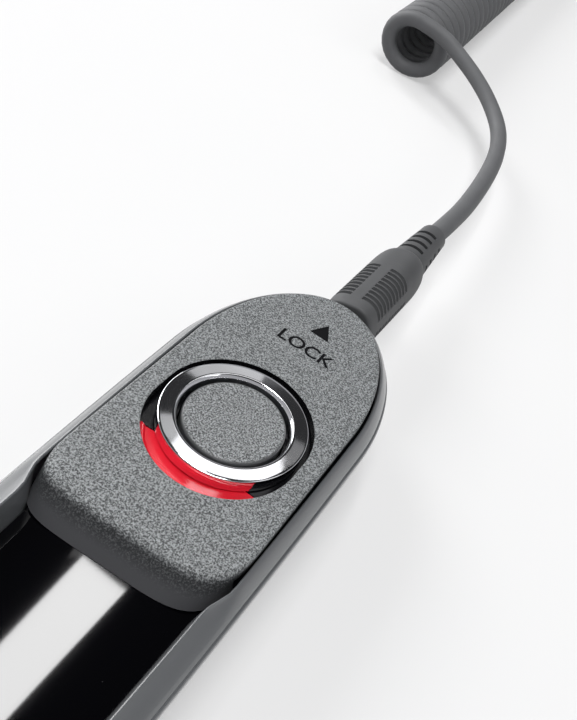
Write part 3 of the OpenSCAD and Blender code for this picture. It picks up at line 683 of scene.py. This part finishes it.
def makeStrip():
    s, fr = panelSize, frameSize
    spots = []                     # (half width, y) from the step to the tail
    for i in range(s["stations"] + 1):
        y = mix(stepY, tailY, i / s["stations"])
        inner = mix(fr["headInner"], fr["gripInner"], gripShare(y))
        spots.append((halfWidth(y) - inner - fitGap, y))
    inset = fr["gripInner"] + fitGap
    for k in range(1, s["tailStations"]):
        a = radians(90 * k / s["tailStations"])
        spots.append(((handleSize["tailWidth"] / 2 - inset) * cos(a),
                tailY - (handleSize["tailLength"] - inset) * sin(a)))
    shares = [cos(pi * i / s["across"]) for i in range(1, s["across"])]
    rings = []
    for w, y in spots:
        crown = [(w * c, fr["valley"] + s["crown"] * (1 - c ** s["flatness"]))
                 for c in shares]
        profile = ([(w, s["bottom"]), (w, fr["valley"])] + crown
                   + [(-w, fr["valley"]), (-w, s["bottom"])])
        rings.append([Vector((x, y, z)) for x, z in profile])
    return loft("strip", rings)


def makePanel():
    panel = makePlate()
    pick(panel, makeStrip())
    bpy.ops.object.join()
    return finishPiece(panel, 30, "handle", "gloss_black", "gloss_panel")


panel = makePanel()
print("gloss panel made")


# lock ring, button and red marker

ringSize = {
    "bore": 0.0068, "outer": 0.009, "foot": ringLow.z, "top": ringHigh.z,
    # points of the inner edge: out from the bore, down from the top
    "innerEdge": [(0, 0.0004), (0.00003, 0.00033), (0.00024, 0.00008), (0.0003, 0.00002),
        (0.00038, 0)],
    "fall": 0.0001,            # how far the face falls away from the button
    "edge": 0.00015, "footBevel": 0.0002,
    "faceSteps": 8,
}


def makeRing():
    s = ringSize
    start, shoulder = s["bore"] + s["innerEdge"][-1][0], s["top"] - s["fall"]
    profile = [(s["bore"], s["foot"])]
    profile += [(s["bore"] + out, s["top"] - down) for out, down in s["innerEdge"]]
    for k in range(1, s["faceSteps"] + 1):
        t = k / s["faceSteps"]
        profile.append((mix(start, s["outer"] - s["edge"], t), mix(s["top"], shoulder, t)))
    profile += arc(s["outer"] - s["edge"], shoulder - s["edge"], s["edge"], 75, 0, 5)
    profile += [(s["outer"], s["foot"] + s["footBevel"]),
                (s["outer"] - s["footBevel"], s["foot"])]
    ring = turned("lock_ring", profile, (0, ringY, 0), 160)
    return finishPiece(ring, 25, "slider", "ring_chrome", "chrome_ring")


buttonLow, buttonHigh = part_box("release_button")
buttonSize = {
    "radius": 0.0063, "cap": 0.0024, "rim": 0.00035,
    "dish": 0.00005, "dishEdge": 0.0003,
    "stem": 0.002, "stemBevel": 0.0003,
}


def makeButton():
    s = buttonSize
    top, low = buttonHigh.z, buttonLow.z
    inside, dish = s["radius"] - s["rim"], top - s["dish"]
    profile = [(hair, low), (s["stem"] - s["stemBevel"], low), (s["stem"], low + s["stemBevel"]),
               (s["stem"], top - s["cap"]), (s["radius"], top - s["cap"])]
    profile += arc(inside, top - s["rim"], s["rim"], 0, 90, 8)
    profile += [(inside - s["dishEdge"], top - hair), (s["radius"] / 2, dish), (hair, dish)]
    button = turned("release_button_grained", profile, (0, ringY, 0), 128)
    return finishPiece(button, 30, "button", "button_grain", "release_button")


markerLow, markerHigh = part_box("lock_marker")
markerSize = {
    "inner": 0.0087, "flange": 0.0102, "flangeBack": 0.0024,
    "slotEdge": 0.00954, "slotBack": 0.002,
    "back": 0.0063,
    "from": 210, "to": 330, "steps": 72,       # degrees about the ring's centre
    "dip": 0.00012, "dipPlaces": (0.1, 0.3, 0.5, 0.7, 0.9, 0.97),
    "lipWidth": 0.0008, "lipHeight": 0.0002,
    "lipPlaces": (0.04, 0.12, 0.25, 0.4, 0.55, 0.7, 0.85, 0.95),
}


def makeMarker():
    s = markerSize
    low, top = markerLow.z, markerHigh.z - s["lipHeight"]

    def edge(dx, dy, radius, back):
        # distance from the ring's centre to the edge of a slot shape in this direction
        return -dy * back + sqrt(radius ** 2 - (back * dx) ** 2)

    rings = []
    for k in range(s["steps"] + 1):
        a = radians(mix(s["from"], s["to"], k / s["steps"]))
        dx, dy = cos(a), sin(a)
        outer = edge(dx, dy, s["flange"], s["flangeBack"])
        seen = edge(dx, dy, s["slotEdge"], s["slotBack"])
        crease = seen - s["lipWidth"]
        section = [(s["inner"], low), (s["inner"], top - 2 * hair)]
        for t in s["dipPlaces"]:
            sink = s["dip"] * sin(pi * 0.5 * t)
            section.append((mix(s["inner"], crease, t), top - sink))
        for t in s["lipPlaces"]:
            swell = (s["lipHeight"] + s["dip"] * 0.4) * sin(pi * t) ** 0.7
            section.append((mix(crease, seen, t), top - s["dip"] * (1 - t) + swell))
        section += [(seen + fitGap, top), (outer, top), (outer, low)]
        rings.append([Vector((r * dx, ringY + r * dy, z)) for r, z in section])
    marker = loft("lock_marker_red", rings)
    cutWith(marker, addBox(ringY - s["back"], cutReach["front"]))
    startEdit(marker)
    bpy.ops.mesh.select_all(action="SELECT")
    bpy.ops.mesh.normals_make_consistent(inside=False)
    endEdit()
    return finishPiece(marker, 40, "slider", "marker_red", "lock_marker")


ring, button, marker = makeRing(), makeButton(), makeMarker()
print("lock ring, button and marker made")


# the handle's plug: grip with ribs on its corners, and a slotted strain relief

gripSize = {
    "sides": 144,
    "width": 0.0082,
    "collar": 0.0079, "collarLength": 0.0034,
    "collarEdge": [(0, 0.0008), (0.00012, 0.0003), (0.00035, 0)],   # along, narrower by
    "gap": 0.0013, "gapWidth": 0.0052,     # the bare neck between the handle and the collar
    "squareness": 2.8,
    "aside": (0.0002, 0.0005),   # how far it stands to the right, at its start and its end
    "turn": 15,                  # degrees that the plug is turned in its socket
    "ribs": 10, "ribFrom": 0.0037, "pitch": 0.00108, "crest": 0.0003, "groove": 0.00046,
    "grooveShape": [(0, 0), (0.1, 0.75), (0.25, 1), (0.75, 1), (0.9, 0.75), (1, 0)],
    "zone": 31, "zoneFade": 2.5,      # half angle of each ribbed corner, and of its end
    "dome": 0.0052, "domeSteps": 20,
    "neck": 0.0067,
}


def squareRadius(angle, width, power):
    total = abs(cos(angle)) ** power + abs(sin(angle)) ** power
    return width / 2 / total ** (1 / power)


def gripRing(y, width, power=gripSize["squareness"], groove=0):
    s = gripSize
    turn = radians(s["turn"])
    aside = mix(*s["aside"], (y - gripLow.y) / (gripHigh.y - gripLow.y))
    out = []
    for i in range(s["sides"]):
        a = 2 * pi * i / s["sides"]
        offCorner = abs(degrees(a) % 90 - 45)
        share = 1 - ease((offCorner - s["zone"]) / s["zoneFade"] + 0.5)
        r = squareRadius(a, width, power) - groove * share
        out.append(Vector((aside + r * cos(a + turn), y, plugZ + r * sin(a + turn))))
    return out[::-1]


def makeGrip():
    s = gripSize
    start, end = gripLow.y, gripHigh.y
    rim, dome = start + s["gap"], end - s["dome"]
    rings = [gripRing(y, s["gapWidth"], 2) for y in (start, rim - 2 * hair)]
    rings += [gripRing(rim + along, s["collar"] - less) for along, less in s["collarEdge"]]
    rings += [gripRing(mix(rim, start + s["collarLength"], t), mix(s["collar"], s["width"], t))
              for t in (0.4, 0.7, 1)]
    for k in range(s["ribs"]):
        at = start + s["ribFrom"] + s["pitch"] * k
        for share, depth in s["grooveShape"]:
            rings.append(gripRing(at + (s["pitch"] - s["crest"]) * share, s["width"],
                    groove=s["groove"] * depth))
    for k in range(s["domeSteps"] + 1):
        a = radians(90 * k / s["domeSteps"])
        rings.append(gripRing(dome + s["dome"] * sin(a),
                mix(s["neck"], s["width"], cos(a) ** 0.85),
                mix(2, s["squareness"], cos(a))))
    piece = loft("plug_grip_ribbed", rings)
    return finishPiece(piece, 38, "cable", "cord_rubber", "plug_grip")


reliefSize = {
    "length": 0.0127, "wide": 0.0065, "narrow": 0.005,
    "band": 0.001, "round": 0.0006,       # the straight band at its foot, and its end's radius
    "rows": 4, "firstSlot": 0.0018, "pitch": 0.002175, "slot": 0.0009, "depth": 0.0009,
    "around": 3, "span": 82, "slotSteps": 18,    # slots in a row, and the degrees of each
    "turn": 14,
}
cameraReliefSize = dict(reliefSize, length=0.011, wide=0.006, pitch=0.00175, around=4, span=52,
        turn=0)


def addSlotCutter(size, here, z, start):
    # a small upright face, spun round Z from the start angle through the slot's span
    inner, outer, high = here - size["depth"], here + 0.002, z + size["slot"]
    corners = [(inner, z), (outer, z), (outer, high), (inner, high)]
    cutter = startRing("slot", [(r * cos(start), r * sin(start), h)
            for r, h in corners])
    bpy.ops.mesh.edge_face_add()
    bpy.ops.mesh.spin(steps=size["slotSteps"], angle=-radians(size["span"]),
            center=(0, 0, 0), axis=(0, 0, 1))
    outwards()
    endEdit()
    return cutter


def makeRelief(name, size, shoulder, heading, node):
    # heading is the rotation that turns +Z along the cord
    wide, narrow, length = size["wide"] / 2, size["narrow"] / 2, size["length"]
    band, end = size["band"], size["round"]
    bore = cordSize["diameter"] / 2 + 2 * hair
    profile = [(bore, 0), (wide, 0), (wide, band)]
    profile += [(mix(wide, narrow, t), mix(band, length - end - 0.0001, t))
                for t in (0.25, 0.5, 0.75)]
    profile += arc(narrow - end, length - end, end, 10, 80, 6) + [(bore, length)]
    piece = turned(name, profile)
    for row in range(size["rows"]):
        z = size["firstSlot"] + size["pitch"] * row
        here = mix(wide, narrow, z / length)
        for q in range(size["around"]):
            start = 270 + 360 / size["around"] * q - size["span"] / 2 - size["turn"]
            cutWith(piece, addSlotCutter(size, here, z, radians(start)))
    piece.rotation_euler = heading
    piece.location = shoulder
    return finishPiece(piece, 30, "cable", "cord_rubber", node)


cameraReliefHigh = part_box("camera_strain_relief")[1]
cameraGripLow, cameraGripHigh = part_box("camera_plug_grip")
cameraPlugY = (cameraGripLow.y + cameraGripHigh.y) / 2
cameraPlugZ = (cameraGripLow.z + cameraGripHigh.z) / 2
cameraGripSize = {
    "ribs": 6, "ribFrom": 0.003, "pitch": 0.0016,
    "ribHeight": 0.0004,
    # points of each rib: in from its crest, along the grip
    "ribShape": [(0.0003, 0.0002), (0.0001, 0.0004), (0, 0.00055), (0, 0.00085),
        (0.0001, 0.001), (0.0004, 0.0013)],
    "edge": 0.0005,
    "dome": 0.004, "neck": 0.0031,
}


def makeCameraGrip():
    s = cameraGripSize
    wide = cameraGripHigh.z - cameraPlugZ
    length = cameraGripHigh.x - cameraGripLow.x
    flat = wide - s["ribHeight"]
    profile = [(hair, 0), (flat - s["edge"], 0)]
    profile += arc(flat - s["edge"], s["edge"], s["edge"], -90, 0, 4) + [(flat, s["ribFrom"])]
    for k in range(s["ribs"]):
        z = s["ribFrom"] + s["pitch"] * k
        profile += [(wide - drop, z + along) for drop, along in s["ribShape"]]
    for a in range(0, 91, 10):     # dome
        a = radians(a)
        profile.append((mix(flat, s["neck"], 1 - cos(a)),
                mix(length - s["dome"], length, sin(a))))
    piece = turned("camera_grip_ribbed", profile + [(hair, length)])
    piece.rotation_euler = (0, radians(-90), 0)
    piece.location = (cameraGripHigh.x, cameraPlugY, cameraPlugZ)
    return finishPiece(piece, 38, "cable", "cord_rubber", "camera_plug_grip")


grip = makeGrip()
relief = makeRelief("strain_relief_slotted", reliefSize,
        (gripSize["aside"][1], reliefLow.y, plugZ),
        (radians(-90), 0, 0), "strain_relief")
cameraRelief = makeRelief("camera_relief_slotted", cameraReliefSize,
        (cameraReliefHigh.x, cameraPlugY, cameraPlugZ),
        (0, radians(-90), 0), "camera_strain_relief")
cameraGrip = makeCameraGrip()
cordMates = ["plug_sleeve", "plug_ring", "plug_tip", "plug_insulators", "camera_plug_sleeve",
        "camera_plug_ring", "camera_plug_tip", "camera_plug_insulators"]
round(lengthOf(cordPoints), 3)
cordMates + [grip, relief, cameraRelief, cameraGrip]
print("plugs made")


# materials

class Wire:
    # a shader socket that can be used in sums
    def __init__(self, nodes, socket):
        self.nodes, self.socket = nodes, socket

    def maths(self, operation, a, b):
        return self.nodes.node("ShaderNodeMath", [a, b], operation=operation)

    def __add__(self, other): return self.maths("ADD", self, other)
    def __radd__(self, other): return self.maths("ADD", other, self)
    def __sub__(self, other): return self.maths("SUBTRACT", self, other)
    def __rsub__(self, other): return self.maths("SUBTRACT", other, self)
    def __mul__(self, other): return self.maths("MULTIPLY", self, other)
    def __rmul__(self, other): return self.maths("MULTIPLY", other, self)


class Nodes:
    # adds nodes to one tree, a material's or the world's
    def __init__(self, tree):
        self.tree = tree

    def plug(self, socket, value):
        if isinstance(value, Wire):
            self.tree.links.new(value.socket, socket)
        elif isinstance(value, tuple) and len(value) == 3 and socket.type == "RGBA":
            socket.default_value = (*value, 1)
        else:
            socket.default_value = value

    def node(self, kind, values=(), output=0, stops=(), **settings):
        # stops are a ramp's (place, colour) pairs
        made = self.tree.nodes.new(kind)
        for key, value in settings.items():
            setattr(made, key, value)
        for k, (place, color) in enumerate(stops):
            ramp = made.color_ramp.elements
            stop = ramp[k] if k < 2 else ramp.new(place)     # a new ramp has two stops
            stop.position, stop.color = place, (*color, 1)
        pairs = values.items() if isinstance(values, dict) else enumerate(values)
        for key, value in pairs:
            self.plug(made.inputs[key], value)
        return Wire(self, made.outputs[output])


class Finish(Nodes):
    def __init__(self, name, **values):
        self.material = bpy.data.materials.new(name)
        self.material.use_nodes = True
        super().__init__(self.material.node_tree)
        self.surface = self.tree.nodes["Principled BSDF"]
        names = {"specular": "Specular IOR Level", "metallic": "Metallic",
                 "coat": "Coat Weight", "coatRoughness": "Coat Roughness"}
        for key, value in values.items():
            self.plug(self.surface.inputs[names[key]], value)

    def lay(self, color, roughness, height=None, depth=0.0):
        # height goes from 0 to 1 over the surface, and depth is what it bumps in metres
        self.plug(self.surface.inputs["Base Color"], color)
        self.plug(self.surface.inputs["Roughness"], roughness)
        if height is not None:
            self.plug(self.surface.inputs["Normal"], self.node("ShaderNodeBump", {
                "Height": height, "Distance": depth, "Strength": 1.0}))
        return self

    def place(self):
        return self.node("ShaderNodeTexCoord", output="Object")

    def noise(self, size, detail=2, rough=0.5):
        # size is the width of one feature in metres
        return self.node("ShaderNodeTexNoise", {
            "Vector": self.place(), "Scale": 1 / size, "Detail": detail, "Roughness": rough})

    def cells(self, size):
        return self.node("ShaderNodeTexVoronoi", {"Vector": self.place(), "Scale": 1 / size},
                output="Distance")

    def span(self, value, low, high):
        # 0 at low and 1 at high, with a soft start and end
        return self.node("ShaderNodeMapRange", {
            "Value": value, "From Min": low, "From Max": high}, interpolation_type="SMOOTHSTEP")

    def tint(self, a, b, factor):
        return self.node("ShaderNodeMix", {0: factor, 6: a, 7: b}, output=2, data_type="RGBA")

    def on(self, *pieces):
        for piece in pieces:
            piece.data.materials.clear()
            piece.data.materials.append(self.material)


def onNode(finish, *names):
    for name in names:
        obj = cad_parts[name]
        if not obj.material_slots:
            obj.data.materials.append(finish.material)
        for slot in obj.material_slots:
            slot.material = finish.material


shellLook = {"dark": (0.098, 0.103, 0.108), "light": (0.122, 0.128, 0.134), "patch": 0.009,
        "roughness": 0.29, "change": 0.05, "grain": 0.00022, "depth": 0.000012}


def satinShell():
    s = shellLook
    f = Finish("satinShell", specular=0.5, coat=0.7, coatRoughness=0.18)
    broad = f.noise(s["patch"])
    return f.lay(f.tint(s["dark"], s["light"], broad), s["roughness"] + s["change"] * broad,
            f.noise(s["grain"], 3, 0.6), s["depth"])


glossLook = {"black": (0.0012, 0.0012, 0.0018), "dust": (0.16, 0.16, 0.17), "roughness": 0.03,
        "dustRoughness": 0.3, "speck": 0.0011, "speckEdges": (0.035, 0.06),
        "patch": 0.012, "patchEdges": (0.52, 0.7)}


def gloss():
    s = glossLook
    f = Finish("pianoGloss", specular=0.5)
    specks = f.span(f.cells(s["speck"]), *s["speckEdges"])
    dust = (1 - specks) * f.span(f.noise(s["patch"]), *s["patchEdges"])
    return f.lay(f.tint(s["black"], s["dust"], dust),
            s["roughness"] + s["dustRoughness"] * dust + 0.02 * f.noise(0.02, 3),
            f.noise(0.03), 0.00002)


# the cover's and the button's grain: the widths and shares of its two sizes of speck, the
# heights between which a speck turns light, and its depth
grainLook = {"fine": 0.0001, "coarse": 0.00021, "fineShare": 0.4, "coarseShare": 0.6,
        "speckEdges": (0.38, 0.64), "depth": 0.00006}


def grain(f):
    coarse = f.noise(grainLook["coarse"], 1, 0.6)
    height = (grainLook["fineShare"] * f.noise(grainLook["fine"], 1, 0.7)
              + grainLook["coarseShare"] * coarse)
    return height, f.span(height, *grainLook["speckEdges"]), coarse


coverLook = {
    "dark": (0.035, 0.038, 0.04), "light": (0.33, 0.346, 0.352),           # grained top
    "paintedShadeBendDark": (0.018, 0.019, 0.021), "paintedShadeBendLight": (0.1, 0.104, 0.107),   # painted shade on the bend behind it
    # the back wall's smooth colour, partly its own and partly darkened as painted shade
    "wall": (0.066, 0.067, 0.072),
    "fade": (-0.0006, 0.00035),       # heights from the top between which the grain fades into the painted shade of the bend
    # heights from the top between which the painted shade of the bend lightens into the wall's
    # colour
    "paintedShadeFade": (-0.0008, -0.0026),
    "roughness": 0.42, "grainRoughness": 0.16,
}


def coverGrain():
    s, top = coverLook, coverSize["top"]
    f = Finish("coverGrain", specular=0.5)
    height, speck, coarse = grain(f)
    z = f.node("ShaderNodeSeparateXYZ", [f.place()], output="Z")
    # the grain fades out where the back rounds down, into painted shade: darkest on the bend,
    # lighter down the wall
    shade = f.span(z + 0.0007 * coarse, *(top + h for h in s["fade"]))
    # low and bend carry the painted shade: bend is dark with sparse light specks, and low
    # lightens it down the wall
    low = f.span(z + 0.0006 * coarse, *(top + h for h in s["paintedShadeFade"]))
    bend = f.tint(s["paintedShadeBendDark"], s["paintedShadeBendLight"], speck * speck)
    grained = f.tint(s["dark"], s["light"], speck)
    return f.lay(f.tint(f.tint(bend, s["wall"], low), grained, shade),
            s["roughness"] + s["grainRoughness"] * shade, height * shade,
            grainLook["depth"])


buttonLook = {"dark": (0.03, 0.032, 0.034), "light": (0.36, 0.376, 0.382),
        "rim": (0.05, 0.052, 0.054), "roughness": 0.34, "grainRoughness": 0.2,
        "fade": 0.0001}


def buttonGrain():
    s, edge = buttonLook, buttonSize["radius"] - buttonLook["fade"]
    f = Finish("buttonGrain", specular=0.5)
    height, speck = grain(f)[:2]
    centred = f.node("ShaderNodeMapping", {"Vector": f.place(), "Location": (0, -ringY, 0),
            "Scale": (1, 1, 0)})
    away = f.node("ShaderNodeVectorMath", [centred], output="Value", operation="LENGTH")
    shade = 1 - f.span(away, edge - buttonSize["rim"], edge)
    return f.lay(f.tint(s["rim"], f.tint(s["dark"], s["light"], speck), shade),
            s["roughness"] + s["grainRoughness"] * shade, height * shade,
            grainLook["depth"])


def chrome():
    f = Finish("ringChrome", metallic=1.0)
    return f.lay(f.tint((0.86, 0.87, 0.9), (0.92, 0.92, 0.94), f.noise(0.004)),
            0.045 + 0.03 * f.noise(0.0012, 3), f.noise(0.0014, 3), 0.0000016)


def redMarker():
    f = Finish("redMarker", specular=0.5)
    return f.lay(f.tint((0.72, 0.013, 0.028), (0.8, 0.018, 0.037), f.noise(0.003)),
            0.13 + 0.08 * f.noise(0.001, 3), f.noise(0.0006), 0.000004)


def rubber(name, base):
    f = Finish(name, specular=0.35)
    mottle = f.noise(0.0028, 4, 0.6)
    dark, light = (tuple(base * share for share in shares)
            for shares in ((0.86, 0.88, 0.92), (1.14, 1.16, 1.2)))
    return f.lay(f.tint(dark, light, mottle), 0.5 + 0.12 * mottle, f.noise(0.0003, 3, 0.6),
            0.00001)


def moulded(name, color, rough, specular=0.5):
    f = Finish(name, specular=specular)
    dark, light = (tuple(share * c for c in color) for share in (0.85, 1.15))
    return f.lay(f.tint(dark, light, f.noise(0.002, 3)), rough + 0.1 * f.noise(0.0008, 3),
            f.noise(0.0004, 3), 0.000008)


def metal(name, color, rough):
    f = Finish(name, metallic=1.0)
    dark = tuple(0.92 * c for c in color)
    return f.lay(f.tint(dark, color, f.noise(0.0015, 3)), rough + 0.12 * f.noise(0.0006, 4),
            f.noise(0.0002, 3), 0.000003)


satinShell().on(lowerShell, upperFrame)
gloss().on(panel)
coverGrain().on(cover)
buttonGrain().on(button)
chrome().on(ring)
redMarker().on(marker)
rubber("cordRubber", 0.118).on(cord)
rubber("plugRubber", 0.078).on(grip, relief, cameraRelief, cameraGrip)
moulded("engravingInk", (0.004, 0.004, 0.005), 0.6, 0.1).on(word, arrow)
# the slide's own black, also put on the slot's wall as painted shade
slideBlackAndSlotShade = moulded("slideBlackAndSlotShade", (0.004, 0.004, 0.005), 0.16)
onNode(slideBlackAndSlotShade, "slider_carriage")


def paintSlotShade():
    # painted shade: the wall of the slot that the lock ring slides in, as seen past the ring,
    # takes the slide's black for the shade in the narrow gap
    cover.data.materials.append(slideBlackAndSlotShade.material)
    front, back = slotSize["front"], slotSize["back"]
    top = coverSize["top"] - 0.5 * slotSize["edge"]
    for face in cover.data.polygons:
        x, y, z = face.center
        past = max(0, abs(y - ringY + (back - front) / 2) - (back + front) / 2)
        if hypot(x, past) < slotSize["radius"] + hair and z < top:
            face.material_index = 1


paintSlotShade()
onNode(moulded("socketBlack", (0.006, 0.006, 0.007), 0.4),
       "jack_housing", "plug_insulators", "camera_plug_insulators")
onNode(metal("plugGold", (0.83, 0.62, 0.28), 0.12),
       *[node for node in cordMates if "insulators" not in node])
onNode(metal("springBrass", (0.78, 0.58, 0.27), 0.25),
       "ground_leaf", "focus_leaf", "release_leaf", "jack_contacts")
onNode(metal("zincSteel", (0.62, 0.63, 0.65), 0.28),
       "case_screws", "friction_spring", "button_spring")
onNode(moulded("solderMask", (0.02, 0.15, 0.06), 0.25), "circuit_board")
onNode(moulded("creamBlock", (0.6, 0.55, 0.42), 0.45), "contact_block")
print("materials set")


# floor, lamps and surroundings

floorLook = {"size": 12, "place": (0, 0.1, 0), "glow": 0.40,
        "dark": (0.46, 0.46, 0.463), "light": (0.475, 0.475, 0.475)}


def layFloor():
    s = floorLook
    bpy.ops.mesh.primitive_plane_add(size=s["size"], location=s["place"])
    floor = bpy.context.object
    floor.name = "floor"
    f = Finish("floorPaper", specular=0.0)
    f.lay(f.tint(s["dark"], s["light"], f.noise(0.05)), 0.9)
    # the glow is only for rays that see the floor, so it lights nothing
    camera, glossy, through = (f.node("ShaderNodeLightPath", output=ray) for ray in (
        "Is Camera Ray", "Is Glossy Ray", "Is Transmission Ray"))
    glow = f.node("ShaderNodeEmission", {"Color": (1.0, 1.0, 1.0),
            "Strength": (camera + glossy + through) * s["glow"]})
    both = f.node("ShaderNodeAddShader", [Wire(f, f.surface.outputs[0]), glow])
    f.plug(f.tree.nodes["Material Output"].inputs["Surface"], both)
    f.on(floor)


# azimuth from +X towards +Y and elevation in degrees, distance, width and length in metres,
# power in watts
lamps = {
    "strip": (120, 64.5, 2.0, 0.146, 0.444, 3.9),
    "rim": (105.4, 54.8, 2.0, 0.52, 0.272, 0.6),
    "rimLeft": (120.3, 52.4, 2.0, 0.085, 0.15, 0.018),
    "rimRight": (93.5, 48.7, 2.0, 0.16, 0.16, 0.014),
    "rimFar": (111.5, 39.5, 2.0, 0.34, 0.17, 0.085),
    "top": (-80, 76, 1.2, 0.5, 0.5, 9.0),
    "left": (157, 34, 1.2, 0.45, 0.45, 7.0),
    "leftLow": (160, 10, 2.0, 2.0, 0.9, 18.0),
    "right": (5, 44, 1.2, 0.7, 0.7, 1.6),
}
lampAlong = {"strip": (-0.0764, -0.9083, 0.4113)}    # where a lamp's length isn't upright


def addLamp(name):
    azimuth, elevation, distance, width, length, power = lamps[name]
    az, el = radians(azimuth), radians(elevation)
    back = Vector((cos(el) * cos(az), cos(el) * sin(az), sin(el)))
    long = Vector(lampAlong.get(name, (0, 0, 1)))
    long = (long - long.dot(back) * back).normalized()
    bpy.ops.object.light_add(type="AREA", location=back * distance)
    light = bpy.context.object
    light.name = name + "Lamp"
    light.data.shape = "RECTANGLE"
    light.data.size, light.data.size_y = width, length
    light.data.energy = power
    light.rotation_euler = facing(long.cross(back), long, back)
    light.visible_camera = False


# brightness of the surroundings against the sine of the elevation
surroundings = [(0.0, 0.50), (0.12, 0.42), (0.30, 0.35), (0.595, 0.34), (0.63, 0.03),
        (1.0, 0.02)]
blueShare = 1.04     # how much bluer than grey they are


def surround():
    world = bpy.data.worlds.new("studioWorld")
    bpy.context.scene.world = world
    world.use_nodes = True
    sky = Nodes(world.node_tree)
    view = sky.node("ShaderNodeTexCoord", output="Generated")
    height = sky.node("ShaderNodeSeparateXYZ", [view], output="Z")
    shades = sky.node("ShaderNodeValToRGB", [height], stops=[
        (place, (shade, shade, shade * blueShare)) for place, shade in surroundings])
    backdrop = sky.tree.nodes["Background"]
    sky.plug(backdrop.inputs["Color"], shades)
    sky.plug(backdrop.inputs["Strength"], 1.0)
    bpy.context.scene.view_settings.view_transform = "Standard"


layFloor()
for name in lamps:
    addLamp(name)
surround()
print("studio lit")
